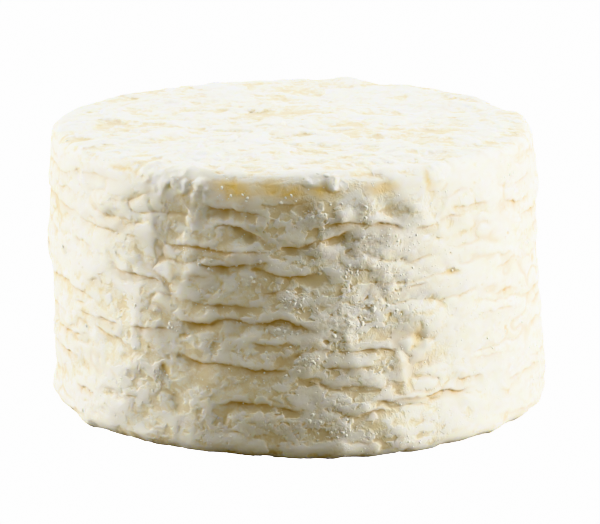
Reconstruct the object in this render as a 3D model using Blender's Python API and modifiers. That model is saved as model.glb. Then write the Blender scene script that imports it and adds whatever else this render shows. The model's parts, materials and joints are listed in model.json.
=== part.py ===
"""A small wheel of young white curd cheese that was pressed in a cloth. It is one solid, in metres, +Z up.

The wheel is turned from one profile. The cloth then leaves its mark: long level creases round the side, where a
fold of rind hangs over the one below it, a few upright tucks, hollows under a lip at the top edge, and a slightly
uneven top. The front of the cheese faces -Y, and angles round it are counted from there, positive towards +X.
The origin is on the flat base, under the middle of the wheel.
"""

import math

import bmesh
import bpy
import numpy as np

MM = 0.001

# Driving dimensions
BASE_RADIUS = 65.0 * MM
TOP_RADIUS = 64.0 * MM
HEIGHT = 74.0 * MM
LEAN = 2.5 * MM  # how far the top has slid towards -X from the base
TOP_EDGE_ROUND = 3.0 * MM
FOOT_ROUND = 4.0 * MM

# How finely the turned blank is cut before its facets are thinned out
BLANK_STEPS = 360
WALL_STEP = 0.8 * MM
FACE_STEP = 2.0 * MM
EDGE_ARC_STEPS = 6
FINISHED_TRIANGLES = 9000

# Level creases: from and to in degrees, height at each end, bow in the middle, ripple and its number of waves,
# depth, and how far the fold above hangs out; heights and depths in millimetres
LEVEL_CREASES = (
    (-64, -33, 56.2, 55.2, -0.3, 0.15, 2.0, 0.5, 0.4),
    (-34, -3, 55.2, 54.2, -0.1, 0.25, 2.0, 0.9, 0.5),
    (-6, 15, 54.2, 59.8, -0.5, 0.20, 1.0, 1.0, 0.9),
    (5, 27, 60.2, 59.0, 1.8, 0.20, 2.0, 1.0, 0.6),
    (27, 36, 58.6, 59.8, 0.0, 0.10, 1.0, 0.6, 0.3),
    (-24, -4, 51.0, 52.0, -0.9, 0.20, 1.5, 1.0, 0.8),
    (-10, 6, 50.6, 49.4, -1.9, 0.10, 1.0, 1.0, 0.9),
    (-50, -24, 44.7, 44.5, 0.6, 0.20, 1.5, 0.8, 0.5),
    (-30, -5, 40.8, 40.4, -0.6, 0.10, 2.0, 0.6, 0.4),
    (-31, 7, 33.8, 35.0, 2.0, 0.50, 3.0, 1.3, 0.9),
    (-62, -42, 31.3, 30.5, 0.3, 0.15, 2.0, 0.6, 0.4),
    (-41, -29, 30.8, 32.2, -0.3, 0.10, 1.0, 0.9, 0.5),
    (-55, -42, 28.7, 26.0, 0.0, 0.10, 1.0, 0.6, 0.4),
    (-30, 0, 26.0, 24.2, -0.3, 0.40, 2.0, 1.1, 0.8),
    (4, 18, 24.6, 24.3, -0.2, 0.10, 1.0, 0.6, 0.3),
    (2, 26, 29.6, 28.0, -0.1, 0.30, 1.5, 0.7, 0.5),
    (-20, 3, 13.8, 13.0, 1.8, 0.10, 1.0, 0.9, 0.6),
    (14, 46, 15.4, 15.0, 0.1, 0.30, 3.0, 0.9, 0.6),
    (6, 22, 10.8, 12.6, 0.7, 0.15, 2.0, 0.6, 0.4),
    (-72, -52, 37.6, 35.4, 0.5, 0.10, 1.0, 0.5, 0.4),
    (-76, -58, 24.3, 24.6, 0.4, 0.10, 1.0, 0.5, 0.4),
    (62, 80, 71.0, 71.8, -0.6, 0.10, 1.0, 0.5, 0.3),
    (-12, 9, 66.4, 67.4, -0.1, 0.30, 2.0, 0.6, 0.35),
    (-21, -5, 65.3, 63.4, 0.5, 0.10, 1.0, 1.0, 1.0),
    (-19, -5, 59.8, 55.6, 2.9, 0.10, 1.0, 0.7, 0.9),
    (14, 24, 70.6, 71.0, 0.0, 0.15, 2.0, 0.4, 0.2),
)

# Creases round the rest of the wheel, which follow a rule
BACK_FROM_DEG = 46
BACK_TO_DEG = 300
BACK_ROWS = 11
BACK_CREASE_SPAN_DEG = (12, 38)
BACK_CREASE_GAP_DEG = (-4, 22)
BACK_CREASE_WANDER = 2.0
BACK_CREASE_BOW = 1.6
BACK_CREASE_RIPPLE = (0.1, 0.4)
BACK_CREASE_DEPTH = (0.4, 1.0)
BACK_CREASE_LIP = (0.2, 0.7)
SEED = 11

# The shape of every level crease across its line, in millimetres: the groove's half width, and how far above it
# the fold hangs out and below it the side is tucked in, each with its own half width and share of the lip
GROOVE_HALF_WIDTH = 0.7
HANG_ABOVE, HANG_HALF_WIDTH = 1.9, 1.5
TUCK_BELOW, TUCK_HALF_WIDTH = 1.6, 1.6
LIP_SHARE = 0.6
CREASE_FADE = 6  # a crease fades out over this part of its length at each end

# How an upright tuck's swells lie beside it, as multiples of its width, and how it fades at its ends
SWELL_BESIDE, SWELL_WIDTH = 2.1, 1.4
TUCK_FADE, TUCK_FADE_START = 5, 0.4

# Slow swells round the side: height in millimetres, waves in a whole turn, start in degrees, and how many
# radians they turn with each millimetre of height
SIDE_SWELLS = (
    (0.50, 2, 40, 0.0),
    (0.35, 5, 0, 0.07),
    (0.25, 11, 20, -0.16),
)

# Single swells of the side: angle, half width in degrees, height, half height, and how far they stand out
SIDE_LOBES = (
    (-6, 17, 72.6, 1.8, 0.7),
    (-80, 9, 4.5, 3.5, 1.1),
)

# The crumbled foot: its lumps as waves in a whole turn and start in degrees, then where and how much
FOOT_LUMPS = ((17, 0), (29, 50))
FOOT_HEIGHT, FOOT_HALF_HEIGHT, FOOT_SWELL = 2.0, 3.0, 0.35

# Upright tucks: from and to height, angle at each end, bow in degrees, width, depth, and the swell to the left
# and to the right of it; all but the angles in millimetres
UPRIGHT_TUCKS = (
    (75, 44, -38.5, -26.5, -0.9, 1.5, 1.7, 0.9, 0.0),
    (70, 60, 37.5, 33.0, 0.0, 1.3, 1.6, 0.2, 0.7),
    (59, 53, 34.5, 33.0, 0.0, 0.9, 0.8, 0.0, 0.3),
    (37, 16, 28.0, 25.0, 0.6, 1.9, 1.3, 0.5, 0.8),
    (73, 67, 31.8, 32.6, 0.0, 0.9, 1.7, 0.2, 0.2),
    (54, 41, 20.0, 19.0, 0.8, 1.6, 0.4, 0.0, 0.4),
    (66, 41, 104.0, 97.0, 1.5, 1.5, 1.4, 0.7, 0.3),
    (75, 52, 158.0, 165.0, 1.0, 1.4, 1.5, 0.2, 0.8),
    (40, 12, 196.0, 190.0, -1.0, 1.8, 1.2, 0.6, 0.6),
    (75, 38, 238.0, 244.0, -1.2, 1.5, 1.5, 0.8, 0.2),
)

# Hollows pressed into the side: angle, height, half width, half height and depth in millimetres
HOLLOWS = (
    (-43.5, 72.0, 3.4, 1.3, 1.5),
    (-46.0, 59.2, 3.2, 1.0, 0.9),
    (-31.6, 21.3, 1.9, 1.9, 1.4),
    (37.5, 46.0, 2.0, 0.8, 1.5),
    (-59.5, 67.0, 1.4, 1.6, 0.8),
    (10.5, 57.2, 3.6, 1.6, 0.9),
    (22.5, 63.5, 3.4, 2.0, 1.1),
    (-27.0, 58.0, 2.2, 2.0, 0.6),
)


def smooth_step(value):
    """0 below 0, 1 above 1, and an even curve between."""
    held = np.clip(value, 0.0, 1.0)
    return held * held * (3.0 - 2.0 * held)


def bump(value):
    """1 at 0, falling away on both sides within about 2."""
    return np.exp(-value * value)


def angle_from(angle, middle):
    """Angles in degrees as they lie round the wheel from middle, from -180 to 180."""
    return (angle - middle + 180.0) % 360.0 - 180.0


def level_crease(angle, height, crease):
    """How far a level crease moves the surface out, in millimetres, at these angles and heights."""
    start, end, z_start, z_end, bow, ripple, waves, depth, lip = crease
    along = angle_from(angle, (start + end) / 2) / (end - start) + 0.5
    line = z_start + (z_end - z_start) * along + bow * 4 * along * (1 - along)
    line = line + ripple * np.sin(2 * math.pi * waves * along + start)
    fade = smooth_step(along * CREASE_FADE) * smooth_step((1 - along) * CREASE_FADE)
    above = height - line
    groove = -depth * bump(above / GROOVE_HALF_WIDTH)
    hanging = lip * LIP_SHARE * bump((above - HANG_ABOVE) / HANG_HALF_WIDTH)
    tucked = -lip * LIP_SHARE * bump((above + TUCK_BELOW) / TUCK_HALF_WIDTH)
    return fade * (groove + hanging + tucked)


def upright_tuck(angle, height, tuck):
    """How far an upright tuck moves the surface out, in millimetres."""
    z_top, z_bottom, top_deg, bottom_deg, bow, width, depth, left, right = tuck
    along = (z_top - height) / (z_top - z_bottom)
    line = top_deg + (bottom_deg - top_deg) * along + bow * 4 * along * (1 - along)
    beside = np.radians(angle_from(angle, line)) * BASE_RADIUS / MM
    fade = smooth_step(along * TUCK_FADE + TUCK_FADE_START) * smooth_step((1 - along) * TUCK_FADE)
    groove = -depth * bump(beside / width)
    swell = left * bump((beside + SWELL_BESIDE * width) / (SWELL_WIDTH * width))
    swell = swell + right * bump((beside - SWELL_BESIDE * width) / (SWELL_WIDTH * width))
    return fade * (groove + swell)


def hollow(angle, height, spec):
    """How far a hollow moves the surface out, in millimetres."""
    middle, z_middle, half_width, half_height, depth = spec
    across = np.radians(angle_from(angle, middle)) * BASE_RADIUS / MM / half_width
    up = (height - z_middle) / half_height
    return -depth * np.exp(-((across * across + up * up) ** 2))


def back_creases():
    """Creases with the same make as the front ones, laid in rows round the back by a rule."""
    draw = np.random.default_rng(SEED)
    made = []
    for row in range(BACK_ROWS):
        level = HEIGHT / MM * (row + 1) / (BACK_ROWS + 1)
        start = BACK_FROM_DEG + draw.uniform(0, 24)
        while start < BACK_TO_DEG:
            end = min(start + draw.uniform(*BACK_CREASE_SPAN_DEG), BACK_TO_DEG + 6)
            z_start, z_end = level + draw.uniform(-BACK_CREASE_WANDER, BACK_CREASE_WANDER, 2)
            bow, ripple = draw.uniform(-BACK_CREASE_BOW, BACK_CREASE_BOW), draw.uniform(*BACK_CREASE_RIPPLE)
            depth, lip = draw.uniform(*BACK_CREASE_DEPTH), draw.uniform(*BACK_CREASE_LIP)
            made.append((start, end, z_start, z_end, bow, ripple, 2.0, depth, lip))
            start = end + draw.uniform(*BACK_CREASE_GAP_DEG)
    return made


def side_relief(angle, height):
    """The whole mark of the cloth on the side, in millimetres out from the turned wall."""
    out = np.zeros_like(angle)
    for swell, waves, start, twist in SIDE_SWELLS:
        out = out + swell * np.sin(np.radians(waves * angle + start) + height * twist)
    for middle, half_width, level, half_height, swell in SIDE_LOBES:
        out = out + swell * bump(angle_from(angle, middle) / half_width) * bump((height - level) / half_height)
    lumps = sum(np.sin(np.radians(waves * angle + start)) for waves, start in FOOT_LUMPS)
    out = out + FOOT_SWELL * lumps * bump((height - FOOT_HEIGHT) / FOOT_HALF_HEIGHT)
    for crease in (*LEVEL_CREASES, *back_creases()):
        out = out + level_crease(angle, height, crease)
    for tuck in UPRIGHT_TUCKS:
        out = out + upright_tuck(angle, height, tuck)
    for spec in HOLLOWS:
        out = out + hollow(angle, height, spec)
    return out


def top_relief(x, y):
    """How far the uneven top stands up from its plane, in millimetres. x and y are in millimetres.

    It is a sum of four waves, longest first; each number inside a wave is radians for each millimetre or a start.
    """
    up = 0.35 * np.sin(x * 0.11 + 0.6) * np.cos(y * 0.09 - 0.4)
    up = up + 0.22 * np.sin(x * 0.23 - y * 0.17 + 1.9) + 0.16 * np.sin(y * 0.41 + 2.0 * np.sin(x * 0.12))
    return up + 0.10 * np.sin(x * 0.52 + 1.6 * np.sin(y * 0.21))


def profile_points():
    """The wheel's outline as (radius, height), from the middle of the top down its outer side to the base."""
    inner_top = TOP_RADIUS - TOP_EDGE_ROUND
    points = [(radius, HEIGHT) for radius in np.arange(0.0, inner_top, FACE_STEP)]
    for step in range(EDGE_ARC_STEPS + 1):
        turn = math.radians(90 * step / EDGE_ARC_STEPS)
        radius = inner_top + TOP_EDGE_ROUND * math.sin(turn)
        points.append((radius, HEIGHT - TOP_EDGE_ROUND * (1 - math.cos(turn))))
    wall_top, wall_bottom = HEIGHT - TOP_EDGE_ROUND, FOOT_ROUND
    for height in np.arange(wall_top - WALL_STEP, wall_bottom, -WALL_STEP):
        share = (height - wall_bottom) / (wall_top - wall_bottom)
        points.append((BASE_RADIUS + (TOP_RADIUS - BASE_RADIUS) * share, height))
    inner_base = BASE_RADIUS - FOOT_ROUND
    for step in range(EDGE_ARC_STEPS + 1):
        turn = math.radians(90 * step / EDGE_ARC_STEPS)
        radius = inner_base + FOOT_ROUND * math.cos(turn)
        points.append((radius, FOOT_ROUND * (1 - math.sin(turn))))
    points += [(radius, 0.0) for radius in np.arange(inner_base - FACE_STEP, 0.0, -FACE_STEP)]
    return [*points, (0.0, 0.0)]


def turned_blank():
    """The plain wheel, made by turning its profile round Z. Returns a mesh of its own."""
    line = bpy.data.meshes.new("profile")
    points = profile_points()
    edges = [(i, i + 1) for i in range(len(points) - 1)]
    line.from_pydata([(radius, 0.0, height) for radius, height in points], edges, [])
    turned = bpy.data.objects.new("profile", line)
    bpy.context.scene.collection.objects.link(turned)
    screw = turned.modifiers.new("turn", "SCREW")
    screw.axis = "Z"
    screw.steps = screw.render_steps = BLANK_STEPS
    screw.use_merge_vertices = True
    screw.merge_threshold = 0.00001
    screw.use_smooth_shade = True
    bpy.context.view_layer.update()
    graph = bpy.context.evaluated_depsgraph_get()
    mesh = bpy.data.meshes.new_from_object(turned.evaluated_get(graph))
    bpy.data.objects.remove(turned)
    return mesh


def press(mesh):
    """Moves the turned wheel's surface as the cloth pressed it, leans it, and sets it on the origin."""
    count = len(mesh.vertices)
    place = np.empty(count * 3)
    normal = np.empty(count * 3)
    mesh.vertices.foreach_get("co", place)
    mesh.vertices.foreach_get("normal", normal)
    place, normal = place.reshape(-1, 3), normal.reshape(-1, 3)
    angle = np.degrees(np.arctan2(place[:, 0], -place[:, 1]))
    sideways = np.hypot(normal[:, 0], normal[:, 1])
    relief = sideways * side_relief(angle, place[:, 2] / MM)
    upwards = np.clip(normal[:, 2], 0.0, 1.0)
    relief = relief + upwards * top_relief(place[:, 0] / MM, place[:, 1] / MM)
    base = place[:, 2] < 1e-7
    relief[base] = 0.0
    place = place + normal * (relief * MM)[:, None]
    place[:, 2] = np.maximum(place[:, 2], 0.0)
    place[:, 0] -= LEAN * place[:, 2] / HEIGHT
    middle = (place.max(axis=0) + place.min(axis=0)) / 2
    place[:, :2] -= middle[:2]
    mesh.vertices.foreach_set("co", place.ravel())
    mesh.update()


def rind_material():
    """Young ivory rind: matt, hardly any gloss."""
    material = bpy.data.materials.new("curd_rind")
    material.use_nodes = True
    shader = material.node_tree.nodes["Principled BSDF"]
    shader.inputs["Base Color"].default_value = (0.80, 0.74, 0.60, 1.0)
    shader.inputs["Roughness"].default_value = 0.7
    shader.inputs["Metallic"].default_value = 0.0
    return material


def main():
    for obj in list(bpy.data.objects):
        bpy.data.objects.remove(obj)
    parts = bpy.data.collections.new("curd_cheese")
    bpy.context.scene.collection.children.link(parts)

    mesh = turned_blank()
    mesh.name = "cheese"
    press(mesh)
    cleaner = bmesh.new()
    cleaner.from_mesh(mesh)
    bmesh.ops.triangulate(cleaner, faces=cleaner.faces)
    bmesh.ops.recalc_face_normals(cleaner, faces=cleaner.faces)
    triangles = len(cleaner.faces)
    cleaner.to_mesh(mesh)
    cleaner.free()

    cheese = bpy.data.objects.new("cheese", mesh)
    parts.objects.link(cheese)
    mesh.materials.clear()
    mesh.materials.append(rind_material())
    thin = cheese.modifiers.new("thin_out", "DECIMATE")
    thin.ratio = FINISHED_TRIANGLES / triangles


main()
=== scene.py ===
"""The looks of a small wheel of young white curd cheese that was pressed in a cloth.

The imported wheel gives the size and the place. One closed body replaces it: the same turned form, with the
creases, tucks and hollows that the cloth left, and over them the curd itself, which is white and crumbly in
some places and smeared smooth and creamy in others. Loose crumbs, nuggets of curd and the torn curds along
the rim are pieces of their own. Lengths are millimetres until a mesh is made, and the front faces -Y.
"""

import json
import logging
import math
from dataclasses import dataclass, field
from enum import Enum

import bmesh
import bpy
import numpy as np
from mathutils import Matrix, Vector

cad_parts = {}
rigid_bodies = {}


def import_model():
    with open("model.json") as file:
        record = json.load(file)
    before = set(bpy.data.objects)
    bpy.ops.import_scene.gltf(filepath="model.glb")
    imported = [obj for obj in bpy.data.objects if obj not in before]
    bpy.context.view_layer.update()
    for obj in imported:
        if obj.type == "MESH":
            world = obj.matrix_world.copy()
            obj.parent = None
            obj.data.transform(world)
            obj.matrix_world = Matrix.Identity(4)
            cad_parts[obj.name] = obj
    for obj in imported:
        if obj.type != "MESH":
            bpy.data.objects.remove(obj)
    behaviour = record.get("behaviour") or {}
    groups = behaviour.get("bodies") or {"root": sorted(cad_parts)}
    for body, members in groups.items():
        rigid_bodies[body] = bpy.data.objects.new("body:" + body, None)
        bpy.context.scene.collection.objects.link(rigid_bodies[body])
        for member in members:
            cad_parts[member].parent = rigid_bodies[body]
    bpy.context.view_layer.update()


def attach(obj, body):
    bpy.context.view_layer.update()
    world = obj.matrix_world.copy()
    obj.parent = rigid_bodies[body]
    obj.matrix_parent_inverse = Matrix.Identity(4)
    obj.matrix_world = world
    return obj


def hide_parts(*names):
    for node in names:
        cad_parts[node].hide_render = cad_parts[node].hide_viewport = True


MM = 0.001
CAD_NODE = "cheese"
BODY = "root"

Span = tuple[float, float]
Tree = bpy.types.NodeTree
Socket = bpy.types.NodeSocket

log = logging.getLogger("cheese")


# ---- Small sums used all over ----


def linear(hex_colour: str) -> tuple[float, float, float, float]:
    """Turns an sRGB colour into linear light.

    Args:
        hex_colour: the colour as "#RRGGBB".

    Returns:
        Red, green, blue and an opaque alpha.
    """
    parts = [int(hex_colour[i : i + 2], 16) / 255 for i in (1, 3, 5)]
    red, green, blue = (c / 12.92 if c <= 0.04045 else ((c + 0.055) / 1.055) ** 2.4 for c in parts)
    return red, green, blue, 1.0


def smooth_step(value: np.ndarray) -> np.ndarray:
    """0 below 0, 1 above 1, and an even curve between."""
    held = np.clip(value, 0.0, 1.0)
    return held * held * (3.0 - 2.0 * held)


def ramp(value: np.ndarray, start: float, width: float) -> np.ndarray:
    """0 before start, 1 a width past it, and an even curve between. A width below 0 turns it round."""
    return smooth_step((value - start) / width)


def bump(value: np.ndarray) -> np.ndarray:
    """1 at 0, falling away on both sides within about 2."""
    return np.exp(-value * value)


def angle_from(angle: np.ndarray, middle: float | np.ndarray) -> np.ndarray:
    """Angles in degrees as they lie round the wheel from middle, from -180 to 180."""
    return (angle - middle + 180.0) % 360.0 - 180.0


@dataclass(frozen=True)
class Grain:
    """Random fields in space that are the same every run. Points are rows of x, y, z in millimetres."""

    seed: int
    mixers: tuple[int, int, int] = (374761393, 668265263, 1442695041)
    stirrer: int = 1274126177
    seed_step: int = 31
    shifts: tuple[int, int, int] = (13, 15, 16)
    low_bits: int = 0xFFFF
    octave_shift: float = 17.3
    drift_range: float = 1.6
    place_salt: int = 11
    draw_salt: int = 29
    margin: float = 0.15
    roam: float = 0.7
    slope_turns: float = 37.0
    far: float = 9.0
    flake_edge: float = 0.09
    flake_steps: float = 0.9
    flake_slope: float = 0.55
    grain_edge: float = 0.32
    grain_radius: float = 0.8

    def lot(self, cell: np.ndarray, salt: int) -> np.ndarray:
        """Draws a number for each whole-numbered cell.

        Args:
            cell: rows of three whole numbers.
            salt: tells apart draws for the same cell.

        Returns:
            A number from 0 to 1 for each row.
        """
        along_x, along_y, along_z = self.mixers
        first, second, last = self.shifts
        mixed = cell[:, 0] * along_x + cell[:, 1] * along_y + cell[:, 2] * along_z
        mixed = mixed + (self.seed * self.seed_step + salt) * self.stirrer
        mixed = (mixed ^ (mixed >> first)) * self.stirrer
        mixed = (mixed ^ (mixed >> second)) * along_y
        return ((mixed >> last) & self.low_bits) / self.low_bits

    def drift(self, points: np.ndarray, size: float, octaves: int = 3, keep: float = 0.5) -> np.ndarray:
        """Soft noise, with finer noise over it.

        Args:
            points: where.
            size: how wide the broadest waves are.
            octaves: how many layers, each half as wide as the last.
            keep: how strong each layer is beside the last.

        Returns:
            A number from about -1 to 1 for each point.
        """
        total, weight, strength = np.zeros(len(points)), 0.0, 1.0
        for octave in range(octaves):
            at = points / size * 2.0**octave + self.octave_shift * (octave + 1)
            low = np.floor(at)
            part = smooth_step(at - low)
            low = low.astype(np.int64)
            value = np.zeros(len(points))
            for corner in np.ndindex(2, 2, 2):
                share = np.where(np.array(corner) == 1, part, 1.0 - part).prod(axis=1)
                value += share * self.lot(low + np.array(corner), octave)
            total += strength * (value * 2.0 - 1.0)
            weight += strength
            strength *= keep
        return total / weight * self.drift_range

    def cells(self, points: np.ndarray, size: float) -> tuple[np.ndarray, np.ndarray, np.ndarray, np.ndarray]:
        """Splits space into grains of curd.

        Args:
            points: where.
            size: how wide a grain is.

        Returns:
            The distance to the nearest grain's middle and to the second nearest, both in grain widths, a
            number from 0 to 1 for the nearest grain, and how far each point is along that grain's own slope.
        """
        at = points / size
        low = np.floor(at).astype(np.int64)
        first = np.full(len(points), self.far)
        second = np.full(len(points), self.far)
        drawn, slope = np.zeros((2, len(points)))
        for step in np.ndindex(3, 3, 3):
            cell = low + np.array(step) - 1
            away, lean = np.zeros((2, len(points)))
            for axis in range(3):
                turned = self.lot(cell, self.place_salt + axis)
                apart = at[:, axis] - cell[:, axis] - self.margin - self.roam * turned
                away += apart**2
                lean += apart * np.cos(self.slope_turns * turned)
            away = np.sqrt(away)
            nearer = away < first
            second = np.where(nearer, first, np.minimum(second, away))
            drawn = np.where(nearer, self.lot(cell, self.draw_salt), drawn)
            slope = np.where(nearer, lean, slope)
            first = np.where(nearer, away, first)
        return first, second, drawn, slope

    def flakes(self, points: np.ndarray, size: float) -> tuple[np.ndarray, np.ndarray, np.ndarray]:
        """Flat flakes pressed together, each with a slope of its own.

        Args:
            points: where.
            size: how wide a flake is.

        Returns:
            How high each point stands, which is 0 where flakes meet and either side of 0 elsewhere, how far
            inside its flake it lies from 0 to 1, and a number from 0 to 1 for the flake.
        """
        near, next_near, drawn, slope = self.cells(points, size)
        edge = smooth_step((next_near - near) / self.flake_edge)
        return (self.flake_steps * (drawn - 0.5) + self.flake_slope * slope) * edge, edge, drawn

    def grains(self, points: np.ndarray, size: float) -> tuple[np.ndarray, np.ndarray]:
        """Round grains pressed together.

        Args:
            points: where.
            size: how wide a grain is.

        Returns:
            How high each point is on its grain, from 0 where grains meet to 1, and a number from 0 to 1 for
            the grain, faded out where it meets the next.
        """
        near, next_near, drawn, _ = self.cells(points, size)
        edge = smooth_step((next_near - near) / self.grain_edge)
        dome = np.sqrt(np.clip(1.0 - (near / self.grain_radius) ** 2, 0.0, 1.0))
        return edge * dome, 0.5 + (drawn - 0.5) * edge


@dataclass(frozen=True)
class Wave:
    """One soft wave over the skin: how wide, how high, in how many layers, how much of its height each layer
    keeps, and how far off in the random field it is taken, so that no two waves are alike. Millimetres.
    """

    size: float
    high: float = 1.0
    octaves: int = 3
    keep: float = 0.5
    apart: float = 0.0

    def over(self, grain: Grain, points: np.ndarray) -> np.ndarray:
        """How high the wave stands at each point."""
        return self.high * grain.drift(points + self.apart, self.size, self.octaves, self.keep)

    def sway(self, grain: Grain, points: np.ndarray) -> np.ndarray:
        """Rows of three such waves, which push points about so that what is drawn there gets ragged."""
        waves = [
            grain.drift(points + self.apart * axis, self.size, self.octaves, self.keep) for axis in range(3)
        ]
        return np.stack(waves, axis=1)


@dataclass(frozen=True)
class Swell:
    """A slow swell round the side: how high in millimetres, how many there are round the wheel, where the
    first starts in degrees, and how fast it slants with height in radians a millimetre.
    """

    high: float
    count: int
    start: float = 0.0
    slant: float = 0.0

    def over(self, angle: np.ndarray, height: np.ndarray) -> np.ndarray:
        """How high the swell stands at each angle and height."""
        return self.high * np.sin(np.radians(self.count * angle + self.start) + height * self.slant)


@dataclass(frozen=True)
class Stretch:
    """A part of the side that fades out both ways: its middle and half width, in degrees or millimetres."""

    middle: float
    half: float

    def round_side(self, angle: np.ndarray) -> np.ndarray:
        """1 at the middle angle, and less the farther round the side."""
        return bump(angle_from(angle, self.middle) / self.half)

    def up_side(self, height: np.ndarray) -> np.ndarray:
        """1 at the middle height, and less the farther up or down."""
        return bump((height - self.middle) / self.half)


# ---- The sizes of the wheel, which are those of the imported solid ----

BASE_RADIUS = 65.0
TOP_RADIUS = 64.0
HEIGHT = 74.0
LEAN = 2.5
TOP_EDGE_ROUND = 3.0
FOOT_ROUND = 4.0


@dataclass
class Skin:
    """What is known of each point of the surface while it is worked."""

    points: np.ndarray
    normals: np.ndarray
    out: np.ndarray = field(init=False)
    drop: np.ndarray = field(init=False)
    # crease holds painted shade: how much darker creases, gaps, pits and sunk places are drawn.
    crease: np.ndarray = field(init=False)
    # white is the curd's own whiteness with painted light and shade mixed in: risen relief and the lit flanks
    # are made whiter, the bands under folds and the front middle less white.
    white: np.ndarray = field(init=False)
    # amber holds a painted glow: warm light coming through the curd at the band under the rim, in pits and in
    # troughs.
    amber: np.ndarray = field(init=False)
    torn: np.ndarray = field(init=False)
    loose: np.ndarray = field(init=False)
    grainy: np.ndarray = field(init=False)
    angle: np.ndarray = field(init=False)
    height: np.ndarray = field(init=False)

    def __post_init__(self) -> None:
        """Starts with nothing pressed in, and works out angles and heights."""
        fields = np.zeros((8, len(self.points)))
        self.out, self.drop, self.crease, self.white, self.amber, self.torn, self.loose, self.grainy = fields
        self.angle = np.degrees(np.arctan2(self.points[:, 0], -self.points[:, 1]))
        self.height = self.points[:, 2].copy()

    @property
    def side(self) -> np.ndarray:
        """How far each point faces sideways, from 0 to 1."""
        return np.hypot(self.normals[:, 0], self.normals[:, 1])

    @property
    def upward(self) -> np.ndarray:
        """How far each point faces up, from 0 to 1."""
        return np.clip(self.normals[:, 2], 0.0, 1.0)

    def beside(self, middle: float | np.ndarray) -> np.ndarray:
        """How far round the side each point lies from an angle, in millimetres."""
        return np.radians(angle_from(self.angle, middle)) * BASE_RADIUS


# ---- What the cloth pressed into the side ----


@dataclass(frozen=True)
class FoldMake:
    """What all folds have in common: how uneven they are along their length, and their cross-section.

    Lengths are millimetres. above is how far a point is above the crease. Shares are parts of a fold's lip or
    depth.
    """

    ripple_share: float = 0.7
    taper: float = 4.0
    swing_by_start: float = 1.7
    mean: float = 0.74
    slow: float = 0.26
    slow_turns: float = 9.5
    quick: float = 0.16
    quick_turns: float = 31.0
    weakest: float = 0.2
    strongest: float = 1.1
    groove_width: float = 0.2
    groove_widens: float = 0.24
    groove_below: float = 0.05
    groove_share: float = 0.4
    roll_rise: float = 0.8
    roll_fall: float = 2.6
    roll_share: float = 0.85
    hollow_from: float = 0.25
    hollow_rise: float = 0.5
    hollow_fall: float = 2.3
    # A band under each fold is drawn less white: partly smeared curd, partly painted shade under the fold's
    # lip.
    smeared: float = 0.9
    smeared_at: Stretch = Stretch(-1.3, 1.3)
    hang: float = 0.1
    hang_by_lip: float = 0.35
    hang_at: Stretch = Stretch(0.55, 0.6)
    line_shade: float = 0.8
    line_below: float = 0.1
    line_width: float = 1.3
    soft_shade: float = 0.4
    soft_shade_at: Stretch = Stretch(-1.0, 1.0)


FOLD_MAKE = FoldMake()


@dataclass(frozen=True)
class Fold:
    """A level crease, with a fold of rind that hangs over it. Angles are degrees round the wheel."""

    start: float
    end: float
    z_start: float
    z_end: float
    bow: float
    ripple: float
    waves: float
    depth: float
    lip: float

    def line(self, along: np.ndarray) -> np.ndarray:
        """How high the crease runs at each part of its length, from 0 to 1."""
        level = self.z_start + (self.z_end - self.z_start) * along + self.bow * 4 * along * (1 - along)
        ripple = np.sin(2 * math.pi * self.waves * along + self.start)
        return level + FOLD_MAKE.ripple_share * self.ripple * ripple

    def strength(self, along: np.ndarray) -> np.ndarray:
        """How strong the fold is: it comes and goes, and ends in nothing.

        Args:
            along: parts of its length, from 0 to 1.

        Returns:
            A strength for each, from 0 to about 1.
        """
        make = FOLD_MAKE
        swing = make.swing_by_start * self.start + self.z_start
        uneven = make.mean + make.slow * np.sin(make.slow_turns * along + swing)
        uneven = uneven + make.quick * np.sin(make.quick_turns * along + 2.0 * swing)
        tapered = smooth_step(along * make.taper) * smooth_step((1 - along) * make.taper)
        return tapered * np.clip(uneven, make.weakest, make.strongest)

    def press(self, skin: Skin) -> None:
        """Presses the crease into the skin, and lays the fold over it.

        Args:
            skin: the surface, which is changed.
        """
        make = FOLD_MAKE
        along = angle_from(skin.angle, (self.start + self.end) / 2) / (self.end - self.start) + 0.5
        strength = self.strength(along)
        above = skin.height - self.line(along)
        up = np.maximum(above, 0.0)
        down = np.maximum(-above, 0.0)
        width = make.groove_width + make.groove_widens * strength * self.depth
        groove = bump((above + make.groove_below) / width)
        roll = smooth_step(up / make.roll_rise) * np.exp(-up / make.roll_fall)
        hollow = smooth_step((make.hollow_from - above) / make.hollow_rise) * np.exp(-down / make.hollow_fall)
        folded = self.lip * (make.roll_share * roll - hollow)
        skin.out += strength * (folded - make.groove_share * self.depth * groove)
        # Less white under the lip: smeared curd and painted shade.
        skin.white -= make.smeared * strength * self.lip * make.smeared_at.up_side(above)
        skin.drop += strength * (make.hang + make.hang_by_lip * self.lip) * make.hang_at.up_side(above)
        shade = make.line_shade * bump((above + make.line_below) / (make.line_width * width))
        shade = shade + make.soft_shade * make.soft_shade_at.up_side(above)
        skin.crease = np.maximum(skin.crease, strength * min(1.0, self.depth) * shade)


@dataclass(frozen=True)
class TuckMake:
    """What all tucks have in common. Lengths are millimetres across the tuck."""

    ripple_deg: float = 0.35
    ripple_turn: float = 0.9
    share: float = 0.42
    taper_top: float = 5.0
    taper_from: float = 0.3
    taper_bottom: float = 4.0
    trough_rise: float = 1.1
    trough_from: float = 0.35
    trough_share: float = 0.6
    ridge_at: Stretch = Stretch(-1.0, 1.5)
    ridge_share: float = 0.8
    # Painted glow: the trough beside the ridge is tinted amber, as warm light coming through the curd.
    glow_tinted: float = 0.12
    glow_tinted_at: Stretch = Stretch(0.8, 1.2)


TUCK_MAKE = TuckMake()


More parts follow.
